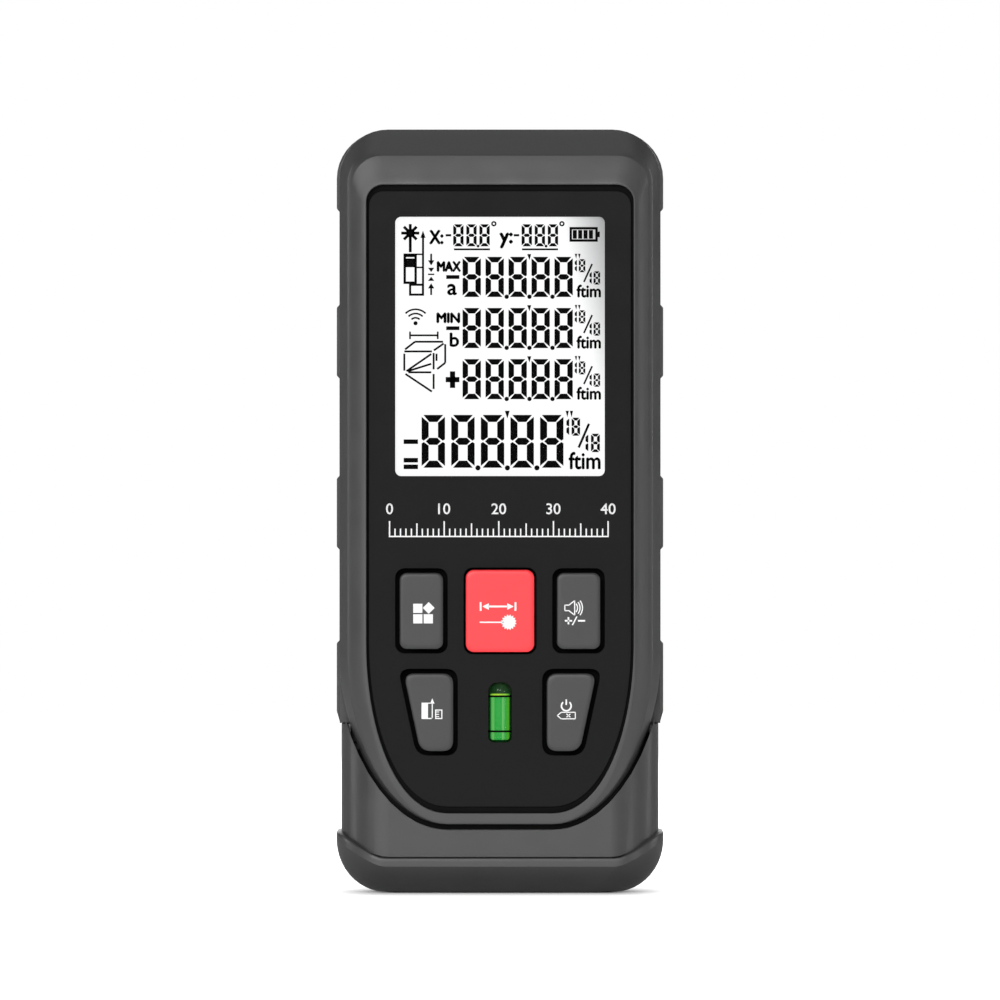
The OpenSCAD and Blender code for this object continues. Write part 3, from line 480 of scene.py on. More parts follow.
# %% The frame's profile, from its back edge to the brow of the opening
SLIT = 0.08
frame_profile = [  # half width, top, corner radius, depth, rise of the foot
    (24.55, 116.6, 7.4, -8.35, 0), (24.52, 116.45, 7.35, -8.62, 0), (24.0, 115.05, 6.3, -9.88, 0),
    (23.46, 113.6, 5.3, -11.15, 0), (23.36, 113.35, 5.1, -11.38, 0), (23.22, 113.12, 4.95, -11.58, 0),
    (22.92, 112.83, 4.75, -11.84, 0), (22.68, 112.62, 4.6, -12.03, 0.0), (22.6, 112.5, 4.55, -12.08, 0.01),
    (22.15, 111.3, 4.3, -12.36, 0.02), (21.7, 110.2, 4.0, -12.6, 0.04), (21.3, 109.4, 3.7, -12.78, 0.06),
    (21.0, 108.9, 3.4, -12.9, 0.1), (20.75, 108.5, 3.1, -12.97, 0.2), (20.62, 108.35, 2.9, frame_face_y, 0.4)]
outlines = [frame_outline(side_x - half, top_z - top, corner, rise)
            for half, top, corner, y, rise in frame_profile]
depths = [y for half, top, corner, y, rise in frame_profile]
print("frame profile:", len(outlines), "layers of", len(outlines[0]), "points")


def frame_layer(number):
    """A layer of the frame, drawn forward where the frame lies on the round tray."""
    layer = []
    for (x, z), (base_x, base_z) in zip(outlines[number], outlines[0]):
        room = frame_back(base_x, base_z) - SLIT - frame_face_y
        squeeze = min(1.0, room / (depths[0] - frame_face_y))
        layer.append(Vector((x, frame_face_y + (depths[number] - frame_face_y) * squeeze, z)) * MM)
    return layer


# %% Draw the frame from its back edge, over the face and into the opening
layers = [against_tray(frame_outline(inset, inset, CORNER_R - inset, inset), gap)
          for inset, gap in ((0.12, 0), (0, 0.14))]
layers += [frame_layer(i) for i in range(len(frame_profile))]
layers += [upright(opening_outline(inset), y) for inset, y in [
    (-0.1, frame_face_y), (-0.02, frame_face_y + 0.03), (0, frame_face_y + 0.12), (0, seat_y - 0.02)]]
layers.append(against_tray(frame_outline(FRAME_WALL, 1.8, 5.6, 0.6), 0.2))
front_frame = skin("front_frame", layers, loop=True)
smooth(front_frame, 20)
place(front_frame, "housing", "dark_rubber", rubber, "front_bezel")

# %% [markdown]
# The gap under the frame's lower edge is closed by a black seal. On a real meter it keeps dust out
# of the joint, and here its black is also painted shade: it draws the dark line of the gap that sets
# the frame off from the body.

# %% Seal under the frame, black as painted shade
SEAL_FRONT, SEAL_BACK = 0.12, -0.2
outer_edge, inner_edge = frame_outline(-0.7, -2, CORNER_R, -0.8), frame_outline(0.3, -2, CORNER_R, 0.4)
low_points = [i for i, (x, z) in enumerate(inner_edge) if z < grip_foot]
path = [i for i in low_points if inner_edge[i][0] < 0] + [i for i in low_points if inner_edge[i][0] > 0]


def seal_section(i):
    """The strip's four corners at one point of its path: two in front and two behind."""
    outer, inner = outer_edge[i], inner_edge[i]
    return against_tray([outer, inner], SEAL_FRONT) + against_tray([inner, outer], SEAL_BACK)


# The strip stands for a seal, and its black is also painted shade in the gap.
frame_seal_and_shade = skin("frame_seal_and_shade", [seal_section(i) for i in path])
smooth(frame_seal_and_shade, 30)
place(frame_seal_and_shade, "housing", "seal_rubber", seal_and_painted_shade_black)

# %% [markdown]
# ## The front panel
#
# The panel is a thin dark plate with an opening for the window, each key and the level. Cutting each
# hole with a boolean would work, but filling the space between the outlines and then extruding the
# plate keeps every hole's edge clean for its fine bevel.

# %% Outlines of the holes
key_names = ["menu", "measure", "sound", "reference", "power"]
key_boxes = {key: box_mm(f"{key}_key") for key in key_names}
FLANGE_LIP = 0.8
KEY_GAP, MEASURE_GAP = 0.3, 0.2
HOLE_GAP = 0.05
window_low, window_high = box_mm("display_window")
vial_low, vial_high = box_mm("vial_tube")


def upper_key_outline(key, grow):
    low, high = key_boxes[key]
    reach = FLANGE_LIP - grow
    return rounded_box(low[0] + reach, low[2] + reach, high[0] - reach, high[2] - reach,
                       1.3 + grow * 0.5, steps=8)


def lower_key_outline(key, grow):
    """The outer side of a lower key leans, so its two corners move by different amounts."""
    low, high = key_boxes[key]
    side = -1 if key == "reference" else 1
    inner = min(abs(low[0]), abs(high[0])) + FLANGE_LIP
    outer_top = 15.2 + grow * 1.235
    outer_low = 12.5 + grow * 0.81
    top, bottom = high[2] - FLANGE_LIP, low[2] + FLANGE_LIP
    corners = [(outer_top, top + grow), (inner - grow, top + grow), (inner - grow, bottom - grow),
               (outer_low, bottom - grow)]
    return rounded_corners([(side * x, z) for x, z in corners], 1.8 + grow * 0.3)


def key_outline(key, grow):
    if key in ("reference", "power"):
        return lower_key_outline(key, grow)
    return upper_key_outline(key, grow)


def vial_outline(grow):
    return rounded_box(vial_low[0] - grow, vial_low[2] - grow, vial_high[0] + grow, vial_high[2] + grow,
                       0.9, 1.5, 6)


# %% Fill between the outlines, then extrude the plate
def plate_with_holes(name, outlines, front, back):
    rings = []
    for outline in outlines:
        drop_selection()
        bpy.ops.mesh.primitive_circle_add(vertices=len(outline), radius=MM)
        ring = bpy.context.object
        for vertex, (x, z) in zip(ring.data.vertices, outline):
            vertex.co = Vector((x, front, z)) * MM
        rings.append(ring)
    plate = join(*rings)
    plate.name = plate.data.name = name
    pick(plate)
    bpy.ops.object.mode_set(mode="EDIT")
    bpy.ops.mesh.select_all(action="SELECT")
    bpy.ops.mesh.fill(use_beauty=True)
    bpy.ops.mesh.select_all(action="SELECT")
    bpy.ops.mesh.extrude_region_move(TRANSFORM_OT_translate={"value": (0, (back - front) * MM, 0)})
    bpy.ops.mesh.select_all(action="SELECT")
    bpy.ops.mesh.normals_make_consistent(inside=False)
    bpy.ops.object.mode_set(mode="OBJECT")
    return plate


# %% The panel
window_hole = rounded_box(window_low[0] - HOLE_GAP, window_low[2] - HOLE_GAP, window_high[0] + HOLE_GAP,
                          window_high[2] + HOLE_GAP, 0.9, steps=8)
holes = [window_hole, vial_outline(HOLE_GAP)]
holes += [key_outline(key, MEASURE_GAP if key == "measure" else KEY_GAP) for key in key_names]
front_panel = plate_with_holes("panel", [opening_outline(PANEL_GAP, 1)] + holes, panel_low[1], panel_high[1])
bevel(front_panel, 0.13, 3, angle=60)
smooth(front_panel, 40, flat_axis=1)
place(front_panel, "housing", "panel_plastic", panel_film, "front_panel")

# %% [markdown]
# ## The keys
#
# Each key is a cap with a soft rim and a very slight dome, on a flange that stays under the panel and
# a stem that reaches its switch. Bevelled blocks would do for the upper three, but the lower two have
# slanting sides. Drawing layers through an outline suits them all, so one recipe makes all five.
# Below its rim each key is black, which is painted shade, so the gap round it looks dark.

# %% Cap, flange and stem
key_front = key_boxes["menu"][0][1]
key_back = key_boxes["menu"][1][1]
flange_front = box_mm("lcd_carrier")[0][1] + 0.05
stem_ends = {key: box_mm(f"{key}_plunger") for key in key_names}


flange = flange_front - key_front
# The cap's section: how far it stands out from its outline, and how far behind the key's front.
cap_section = [(-1.1, 0.02), (-0.75, 0.03), (-0.55, 0.07), (-0.43, 0.17), (-0.38, 0.32), (-0.36, 0.6),
               (-0.34, flange - 0.05), (0, flange), (FLANGE_LIP, flange), (FLANGE_LIP, flange + 0.7)]
MEASURE_WIDER = 0.26


def key_cap(key):
    wider = MEASURE_WIDER if key == "measure" else 0.0
    cap = skin(f"{key}_cap", [upright(key_outline(key, grow + (wider if grow < 0 else 0)), key_front + back)
                              for grow, back in cap_section])
    low, high = stem_ends[key]
    middle = [(a + b) / 2 for a, b in zip(low, high)]
    radius = (high[0] - low[0]) / 2
    stem = skin(f"{key}_stem", [upright(arc(middle[0], middle[2], r, 0, 345, 23), y) for r, y in [
        (radius + 0.5, flange_front + 0.65), (radius, flange_front + 1.15), (radius, key_back - 0.1),
        (radius - 0.1, key_back)]])
    return smooth(join(cap, stem), 28)


# %% Five keys, black below the rim as painted shade
RIM_DEPTH = 0.45
for key in key_names:
    slot, look = ("red_key", key_red) if key == "measure" else ("key_rubber", key_silicone)
    cap = place(key_cap(key), f"{key}_key", slot, look, f"{key}_key")
    # The faces below the rim take the black finish: painted shade for the gap round the key.
    cap.data.materials.append(seal_and_painted_shade_black)
    for face in cap.data.polygons:
        face.material_index = int(face.center.y > (key_front + RIM_DEPTH) * MM)

# %% [markdown]
# ## Printed marks
#
# The marks on the keys, the panel and the display are printed ink: shapes a few hundredths of a
# millimetre thick. They could be painted in a material, but a real thin layer keeps crisp edges at any
# distance. Each mark is a set of flat polygons that are joined and given the ink's thickness.

# %% Flat shapes
def rect(x0, z0, x1, z1):
    return [(x0, z0), (x1, z0), (x1, z1), (x0, z1)]


def line(start, end, width):
    a, b = Vector(start), Vector(end)
    side = (b - a).normalized().orthogonal() * width / 2
    return [tuple(a - side), tuple(b - side), tuple(b + side), tuple(a + side)]


def disc(cx, cz, radius, sides=20):
    return arc(cx, cz, radius, 0, 360 - 360 / sides, sides - 1)


def band(cx, cz, inner, outer, start, end, steps=10):
    return arc(cx, cz, outer, start, end, steps) + list(reversed(arc(cx, cz, inner, start, end, steps)))


def ring_shapes(cx, cz, inner, outer, steps=8):
    return [band(cx, cz, inner, outer, 90 * q, 90 * q + 90, steps // 2) for q in range(4)]


def frame_shapes(x0, z0, x1, z1, width):
    return [rect(x0, z0, x1, z0 + width), rect(x0, z1 - width, x1, z1),
            rect(x0, z0 + width, x0 + width, z1 - width), rect(x1 - width, z0 + width, x1, z1 - width)]


def polyline(points, width):
    return [line(a, b, width) for a, b in zip(points, points[1:])]


# %% Print shapes with ink
def ink_shape(points, y):
    drop_selection()
    bpy.ops.mesh.primitive_circle_add(vertices=len(points), radius=MM, fill_type="NGON")
    flat = bpy.context.object
    for vertex, (x, z) in zip(flat.data.vertices, points):
        vertex.co = Vector((x, y, z)) * MM
    return flat


def thicken(flat, ink):
    """Gives flat ink its thickness, towards the reader, and faces it outwards."""
    pick(flat)
    bpy.ops.object.mode_set(mode="EDIT")
    bpy.ops.mesh.select_all(action="SELECT")
    bpy.ops.mesh.normals_make_consistent(inside=False)
    bpy.ops.mesh.extrude_region_move(TRANSFORM_OT_translate={"value": (0, -ink * MM, 0)})
    bpy.ops.mesh.select_all(action="SELECT")
    bpy.ops.mesh.normals_make_consistent(inside=False)
    bpy.ops.object.mode_set(mode="OBJECT")
    return flat


def print_shapes(name, shapes, y, ink=0.02):
    flats = [ink_shape(points, y) for points in shapes]
    mark = join(*flats)
    mark.name = mark.data.name = name
    return thicken(mark, ink)


def copy_at(piece, x, z):
    twin = piece.copy()
    twin.data = piece.data.copy()
    twin.data.transform(Matrix.Translation((x * MM, 0, z * MM)))
    bpy.context.collection.objects.link(twin)
    return twin


def lettering(words, x, z, height, y, width=None, ink=0.02, centre=False, weight=0.0, bold=0.0):
    """Letters with their lower left corner at x and z, fitted to a height and a width.

    Bold letters are four copies, each moved a little further out."""
    drop_selection()
    bpy.ops.object.text_add()
    text = bpy.context.object
    text.data.body = words
    text.data.size = 1
    text.data.offset = weight
    text.data.resolution_u = 4
    bpy.ops.object.convert(target="MESH")
    text = bpy.context.object
    xs = [v.co.x for v in text.data.vertices]
    ys = [v.co.y for v in text.data.vertices]
    left, foot = min(xs), min(ys)
    tall = height / (max(ys) - foot)
    wide = tall if width is None else width / (max(xs) - left)
    start = x - (max(xs) - left) * wide / 2 if centre else x
    for vertex in text.data.vertices:
        across, up, _ = vertex.co
        vertex.co = Vector((start + (across - left) * wide, y, z + (up - foot) * tall)) * MM
    thicken(text, ink)
    moves = ((-bold, 0), (bold, 0), (0, -bold), (0, bold)) if bold else ()
    return join(text, *[copy_at(text, dx, dz) for dx, dz in moves])


# %% [markdown]
# ## Marks on the keys
#
# Each key has a plain pictogram in white ink: four tiles for the menu, a span and a beam for
# measuring, a speaker with plus and minus, the meter's edge for the measuring reference, and a power
# sign over a delete sign. A font of symbols would need a file, and a few flat shapes are enough.

# %% Menu mark
ink_y = key_front + 0.024
key_marks = {}
menu_x, menu_z, tile = -13.25, 41.1, 1.4
tiles = [rect(menu_x, menu_z, menu_x + tile, menu_z + tile),
         rect(menu_x, menu_z + 1.6, menu_x + tile, menu_z + 1.6 + tile),
         rect(menu_x + 1.6, menu_z, menu_x + 1.6 + tile, menu_z + tile),
         arc(menu_x + 2.36, menu_z + 2.36, 0.9, 0, 270, 3)]
key_marks["menu"] = print_shapes("menu_mark", tiles, ink_y)

# %% Measuring mark: a beam with a burst, and a span over it
beam_z, burst_x, TEETH = 41.27, 1.35, 32
burst = []
for i in range(TEETH):
    reach = 1.22 if i % 2 else 0.93
    angle = math.radians(360 * i / TEETH)
    burst.append((burst_x + reach * math.cos(angle), beam_z + reach * math.sin(angle)))
span_z = 43.68
measure_shapes = [line((-3.1, beam_z), (burst_x - 0.8, beam_z), 0.2), burst,
                  rect(-3.1, span_z - 0.66, -2.82, span_z + 0.66),
                  rect(2.22, span_z - 0.66, 2.5, span_z + 0.66),
                  rect(-1.75, span_z - 0.14, 1.15, span_z + 0.14),
                  [(-2.7, span_z), (-1.7, span_z - 0.5), (-1.7, span_z + 0.5)],
                  [(2.1, span_z), (1.1, span_z + 0.5), (1.1, span_z - 0.5)]]
key_marks["measure"] = print_shapes("measure_mark", measure_shapes, ink_y)

# %% Sound mark: a speaker over a plus and a minus
speaker_x, speaker_z = 9.9, 43.47
speaker = [(0, 0.42), (0.62, 0.42), (1.5, 1.12), (1.5, -1.12), (0.62, -0.42), (0, -0.42), (0, 0.42)]
sound_shapes = polyline([(speaker_x + x, speaker_z + z) for x, z in speaker], 0.17)
sound_shapes += [band(speaker_x + 0.9, speaker_z, r, r + 0.17, -38, 38) for r in (0.95, 1.33, 1.71)]
sign_z = 41.5
sound_shapes += [line((9.9, sign_z), (11.0, sign_z), 0.26),
                 line((10.45, sign_z - 0.55), (10.45, sign_z + 0.55), 0.26),
                 line((11.05, sign_z - 0.66), (11.75, sign_z + 0.66), 0.2),
                 line((11.9, sign_z), (13.0, sign_z), 0.26)]
key_marks["sound"] = print_shapes("sound_mark", sound_shapes, ink_y)

# %% Reference mark: the meter's edge, with an arrow and a page
edge_z = 26.5
reference_shapes = [rect(-11.98, edge_z, -11.0, edge_z + 2.5), rect(-11.0, edge_z, -10.25, edge_z + 0.16),
                    rect(-11.0, edge_z + 2.34, -10.6, edge_z + 2.5),
                    rect(-10.42, edge_z, -10.26, edge_z + 2.4),
                    [(-10.68, edge_z + 2.35), (-10.0, edge_z + 2.35), (-10.34, edge_z + 3.15)]]
reference_shapes += frame_shapes(-9.9, edge_z, -8.8, edge_z + 1.45, 0.16)
reference_shapes += [rect(-9.74, edge_z + 0.3 + 0.36 * i, -9.3, edge_z + 0.42 + 0.36 * i) for i in range(3)]
key_marks["reference"] = print_shapes("reference_mark", reference_shapes, ink_y)

# %% Power mark: a ring with a bar, over a tag with a cross
power_x, power_z = 10.12, 28.5
power_shapes = [band(power_x, power_z, 0.62, 0.86, 130 + 70 * i, 200 + 70 * i, 6) for i in range(4)]
power_shapes += [rect(power_x - 0.12, power_z + 0.15, power_x + 0.12, power_z + 1.0)]
tag_z, TAG_LINE = 27.03, 0.15
tag = [(8.75, tag_z), (9.35, tag_z + 0.5), (11.5, tag_z + 0.5), (11.5, tag_z - 0.5), (9.35, tag_z - 0.5)]
power_shapes += polyline(tag + tag[:1], TAG_LINE)
power_shapes += [line((10.15, tag_z - slant), (10.75, tag_z + slant), TAG_LINE) for slant in (0.26, -0.26)]
key_marks["power"] = print_shapes("power_mark", power_shapes, ink_y)

# %% Each mark rides on its key
for key, mark in key_marks.items():
    place(mark, f"{key}_key", "white_plastic", white_ink)

# %% [markdown]
# ## The ruler on the panel
#
# A ruler of forty steps is printed under the window, with its numbers above the long marks. Its
# marks repeat, so a short loop draws them all.

# %% Ruler and numbers
panel_ink_y = panel_low[1]
PANEL_INK = 0.015
ruler_x, ruler_z, ruler_step, ruler_steps = -16.87, 54.27, 0.8345, 40
ruler = [rect(ruler_x - 0.1, ruler_z, ruler_x + ruler_steps * ruler_step + 0.1, ruler_z + 0.2)]
for i in range(ruler_steps + 1):
    tall = 2.45 if i % 10 == 0 else 2.1 if i % 5 == 0 else 1.3
    x = ruler_x + i * ruler_step
    ruler.append(rect(x - 0.1, ruler_z + 0.2, x + 0.1, ruler_z + tall))
ruler_print = print_shapes("ruler_print", ruler, panel_ink_y, PANEL_INK)
numbers_z, numbers_tall = 57.75, 1.7
numbers = [lettering(str(10 * i), ruler_x + 10 * i * ruler_step, numbers_z, numbers_tall, panel_ink_y,
                     centre=True, ink=PANEL_INK, weight=0.01) for i in range(5)]
ruler_print = join(ruler_print, *numbers)
place(ruler_print, "housing", "white_plastic", white_ink)

# %% [markdown]
# ## The readout
#
# The display shows all its segments: two small angle readings, three rows of distances and a large
# result. A font for such digits would need a file, so each size of digit is drawn once from seven
# mitred bars and then copied along its row.

# %% The sheet and the window over it
glass_low, glass_high = box_mm("lcd_glass")
sheet = skin("display_sheet", [upright(rounded_box(glass_low[0] + i, glass_low[2] + i, glass_high[0] - i,
                                                   glass_high[2] - i, 0.3, steps=4), y)
                               for i, y in [(0.08, glass_low[1]), (0, glass_low[1] + 0.08),
                                            (0, glass_high[1] - 0.08), (0.08, glass_high[1])]])
smooth(sheet, 30)
place(sheet, "housing", "lcd", display_film, "lcd_glass")
window = skin("window_pane", [upright(rounded_box(window_low[0] + i, window_low[2] + i, window_high[0] - i,
                                                  window_high[2] - i, 0.85, steps=8), y)
                              for i, y in [(0.12, window_low[1]), (0.03, window_low[1] + 0.04),
                                           (0, window_low[1] + 0.12), (0, window_high[1])]])
smooth(window, 30)
place(window, "housing", "clear_window", clear_window, "display_window")


# %% One digit of seven bars
def digit_shapes(w, h, thick, gap):
    """The seven bars of a digit of width w and height h: top, foot, four sides and the middle."""
    mid, g, t = h / 2, gap / 2, thick
    k = t * 0.5
    near, right, top = g + 0.05 * w, w - g - 0.05 * w, h - g - 0.05 * w
    above, below = mid + g + k * 0.4, mid - g - k * 0.4
    return [
        [(near, h), (right, h), (w - t - g, h - t), (t + g, h - t)],
        [(t + g, t), (w - t - g, t), (right, 0), (near, 0)],
        [(0, top), (t, h - t - g), (t, mid + k + g), (k * 0.6, mid + g), (0, above)],
        [(w, top), (w, above), (w - k * 0.6, mid + g), (w - t, mid + k + g), (w - t, h - t - g)],
        [(0, near), (0, below), (k * 0.6, mid - g), (t, mid - k - g), (t, t + g)],
        [(w, near), (w - t, t + g), (w - t, mid - k - g), (w - k * 0.6, mid - g), (w, below)],
        [(k + g, mid), (t + g, mid + k), (w - t - g, mid + k), (w - k - g, mid), (w - t - g, mid - k),
         (t + g, mid - k)],
    ]


readout_y, READOUT_INK = glass_low[1] - 0.01, 0.04
readout = []


def digits(shapes_of_one, places):
    one = print_shapes("digit", shapes_of_one, readout_y, READOUT_INK)
    readout.extend(copy_at(one, x, z) for x, z in places)
    bpy.data.objects.remove(one)


def eighteen(width, height, thick, x, z):
    """The small one and eight of a fraction. The one is the right half of another digit."""
    eight = width * 0.62
    bars = digit_shapes(eight, height, thick, 0.09)
    one = [[(px - width + thick, pz) for px, pz in bars[i]] for i in (3, 5)]
    shift = width - eight
    return [[(px + x + shift, pz + z) for px, pz in bar] for bar in bars + one]


# %% Rows of digits
ROW_PITCH, COLUMN_PITCH, BIG_PITCH, SMALL_PITCH = 7.81, 3.51, 4.525, 2.0
row_foot = 90.96
columns = [-5.72 + COLUMN_PITCH * i for i in range(5)]
rows = [row_foot - ROW_PITCH * i for i in range(3)]
digits(digit_shapes(2.8, 6.13, thick=0.84, gap=0.16), [(x, z) for x in columns for z in rows])
big_columns = [-11.98 + BIG_PITCH * i for i in range(5)]
big_foot = 64.87
digits(digit_shapes(3.58, 8.07, thick=1.08, gap=0.2), [(x, big_foot) for x in big_columns])
small_columns = [start + SMALL_PITCH * i for start in (-7.15, 3.3) for i in range(3)]
small_foot = 98.7
digits(digit_shapes(1.58, 3.37, thick=0.48, gap=0.11), [(x, small_foot) for x in small_columns])
print(len(readout), "digits")

# %% Points, primes and fractions
marks = []
for z in rows:
    marks += [disc(x, z + 0.04, 0.34, 14) for x in (1.02, 4.5, 8.02)]
    marks.append([(4.15, z + 6.56), (4.77, z + 6.56), (4.5, z + 5.62)])
    marks += [[(x, z + 6.6), (x + 0.38, z + 6.6), (x + 0.22, z + 5.85)] for x in (11.42, 11.92)]
    marks += eighteen(1.62, 2.0, 0.34, 11.42, z + 3.78)
    marks += eighteen(1.62, 2.03, 0.34, 13.68, z + 1.9)
    marks.append(line((12.82, z + 2.3), (14.08, z + 5.05), 0.27))
marks += [disc(x, big_foot - 0.02, 0.4, 14) for x in (-3.37, 1.13, 5.64)]
marks.append([(0.74, big_foot + 8.7), (1.48, big_foot + 8.7), (1.12, big_foot + 7.5)])
marks += [[(x, big_foot + 8.7), (x + 0.5, big_foot + 8.7), (x + 0.28, big_foot + 7.7)]
          for x in (10.02, 10.66)]
marks += eighteen(2.1, 2.76, 0.44, 10.14, 69.76)
marks += eighteen(2.2, 2.82, 0.44, 13.06, 67.25)
marks.append(line((12.02, 67.95), (13.6, 71.6), 0.36))
marks += [rect(-14.72, z, -12.53, z + 0.7) for z in (68.5, 65.67, 64.66)]

# %% Underlines, points, degree signs and minus signs of the two angles
for x in (-7.04, 3.36):
    marks.append(rect(x, 98.1, x + 5.5, 98.38))
    marks.append(disc(x + 3.68, 98.74, 0.22, 12))
    marks += ring_shapes(x + 6.1, 102.15, 0.17, 0.41)
    marks.append(rect(x - 1.26, 100.22, x - 0.42, 100.56))

# %% Bars over the row names, and the plus
marks += [rect(-8.22, z, -6.2, z + 0.58) for z in (93.72, 85.9)]
marks += [rect(-8.3, 77.93, -6.2, 78.73), rect(-7.65, 77.06, -6.85, 79.6)]

# %% Laser star over the meter that it comes from
star_x, star_z = -13.71, 100.72
for i in range(8):
    angle = math.radians(45 * i)
    tip = (star_x + 1.38 * math.cos(angle), star_z + 1.38 * math.sin(angle))
    root = (star_x + 0.3 * math.cos(angle), star_z + 0.3 * math.sin(angle))
    marks.append(line(root, tip, 0.44))
marks += [disc(star_x, star_z, 0.68, 16), rect(star_x - 0.22, 97.8, star_x + 0.22, 99.8)]
marks += frame_shapes(-14.75, 92.95, -12.7, 97.6, 0.38)
marks += [rect(-14.51, 95.5, -12.94, 96.85), rect(-14.51, 97.05, -12.94, 97.36)]
marks += frame_shapes(-13.9, 91.15, -11.6, 93.0, 0.34)
marks += [rect(-11.92, 92.9, -11.6, 100.4), [(-12.15, 100.0), (-11.38, 100.0), (-11.765, 101.1)],
          rect(-12.7, 97.36, -11.8, 97.6), rect(-12.7, 95.36, -11.8, 95.6)]

# %% Arrows that point at a line, from above and from below
arrow_x, arrow_z, HALF_HEAD, HALF_SHAFT = -10.52, 94.42, 0.48, 0.14
for way in (1, -1):
    for wide_end, point in ((1.0, 0.35), (2.15, 1.35)):
        marks.append([(arrow_x - HALF_HEAD, arrow_z + way * wide_end),
                      (arrow_x + HALF_HEAD, arrow_z + way * wide_end), (arrow_x, arrow_z + way * point)])
    shaft = sorted((arrow_z + way * 2.1, arrow_z + way * 3.15))
    marks.append(rect(arrow_x - HALF_SHAFT, shaft[0], arrow_x + HALF_SHAFT, shaft[1]))
marks.append(rect(arrow_x - HALF_HEAD, 94.31, arrow_x + HALF_HEAD, 94.53))

# %% Radio waves, and the span over the box
wave_x, wave_z = -12.9, 86.9
marks += [band(wave_x, wave_z, r, r + 0.26, 45, 135) for r in (0.75, 1.4, 2.05)]
marks += [disc(wave_x, wave_z + 0.05, 0.32, 14)]
marks += [rect(-13.76, 84.96, -9.5, 85.24), rect(-13.88, 84.52, -13.62, 85.68),
          rect(-9.64, 84.52, -9.38, 85.68)]

# %% Box and triangle, for volumes and indirect measuring
BOX_LINE = 0.3
for stretch in (
        [(-14.62, 82.64), (-10.4, 82.64)], [(-14.62, 82.3), (-14.62, 79.7)],
        [(-14.5, 82.95), (-12.99, 84.12), (-8.7, 84.12)],
        [(-10.1, 82.8), (-8.6, 83.85)], [(-8.37, 83.75), (-8.37, 80.9), (-9.6, 79.95)],
        [(-14.3, 79.62), (-10.5, 82.25)], [(-14.1, 79.62), (-10.5, 80.75)],
        [(-14.0, 79.45), (-10.5, 79.45)], [(-14.45, 79.2), (-10.4, 76.5)],
        [(-10.14, 82.4), (-10.14, 79.9)], [(-10.14, 79.2), (-10.14, 76.9)],
        [(-9.7, 82.3), (-9.7, 81.2)]):
    marks += polyline(stretch, BOX_LINE)

# %% Battery sign
marks += frame_shapes(10.62, 99.4, 14.94, 101.65, 0.38) + [rect(14.94, 100.1, 15.25, 100.95)]
marks += [rect(11.12 + 0.82 * i, 99.86, 11.74 + 0.82 * i, 101.19) for i in range(4)]
readout.append(print_shapes("readout_marks", marks, readout_y, READOUT_INK))
print(len(marks), "printed shapes beside the digits")

# %% Letters that every such readout has
letters = [("X:", -10.74, 99.1, 2.0, 2.0), ("y:", 0.0, 98.5, 2.2, 1.85), ("MAX", -9.55, 94.9, 1.45, 3.5),
           ("MIN", -9.6, 87.06, 1.42, 3.4), ("a", -8.0, 91.3, 1.6, 1.35), ("b", -7.62, 83.4, 2.05, 1.3)]
letters += [("ftim", 11.75, z - 0.02, 1.85, 3.6) for z in rows] + [("ftim", 10.55, 64.68, 2.55, 4.75)]
for words, x, z, height, width in letters:
    bold = 0.12 if words[0] in "XyM" else 0.08
    readout.append(lettering(words, x, z, height, readout_y, width, ink=READOUT_INK, bold=bold))
readout_ink = join(*readout)
readout_ink.name = readout_ink.data.name = "readout_ink"
place(readout_ink, "housing", "print_black", display_ink)

# %% [markdown]
# ## The bubble level
#
# The level is a small closed tube of clear acrylic with green liquid in it, and a bubble at the top.
# Tube and liquid are turned round one axis, as on a lathe, so their outlines are circles that shrink
# and grow along the height. The liquid's brim is a piece of its own, whose brighter colour and glow
# are a painted highlight.

# %% Turned pieces
def turned(name, cx, cy, profile, sides=32):
    return skin(name, [level(arc(cx, cy, max(radius, 0.01), 0, 360 - 360 / sides, sides - 1), z)
                       for radius, z in profile])


# %% The tube
vial_x = 0.0
vial_y = (vial_low[1] + vial_high[1]) / 2
vial_r = (vial_high[0] - vial_low[0]) / 2
foot, head = vial_low[2], vial_high[2]
FOOT_R, HEAD_R = 0.8, 1.4
tube_profile = [(vial_r - FOOT_R + FOOT_R * math.sin(a), foot + FOOT_R - FOOT_R * math.cos(a))
                for a in [math.radians(18 * i) for i in range(6)]]
tube_profile += [(vial_r - HEAD_R + HEAD_R * math.cos(a), head - HEAD_R + HEAD_R * math.sin(a))
                 for a in [math.radians(15 * i) for i in range(7)]]
vial_tube = turned("level_tube", vial_x, vial_y, tube_profile)
smooth(vial_tube, 40)
place(vial_tube, "housing", "vial_acrylic", vial_acrylic, "vial_tube")

# %% The liquid
fluid_low, fluid_high = box_mm("vial_fluid")
fluid_r = (fluid_high[0] - fluid_low[0]) / 2 + 0.2
fluid_foot, brim = fluid_low[2] - 0.4, fluid_high[2]
fluid_profile = [(fluid_r - 0.25, fluid_foot), (fluid_r, fluid_foot + 0.25), (fluid_r, brim - 0.02),
                 (fluid_r - 0.1, brim - 0.06), (0.8, brim - 0.36), (0.3, brim - 0.45)]
vial_fluid = turned("level_liquid", vial_x, vial_y, fluid_profile)
smooth(vial_fluid, 40)
place(vial_fluid, "housing", "vial_liquid", vial_liquid, "vial_fluid")

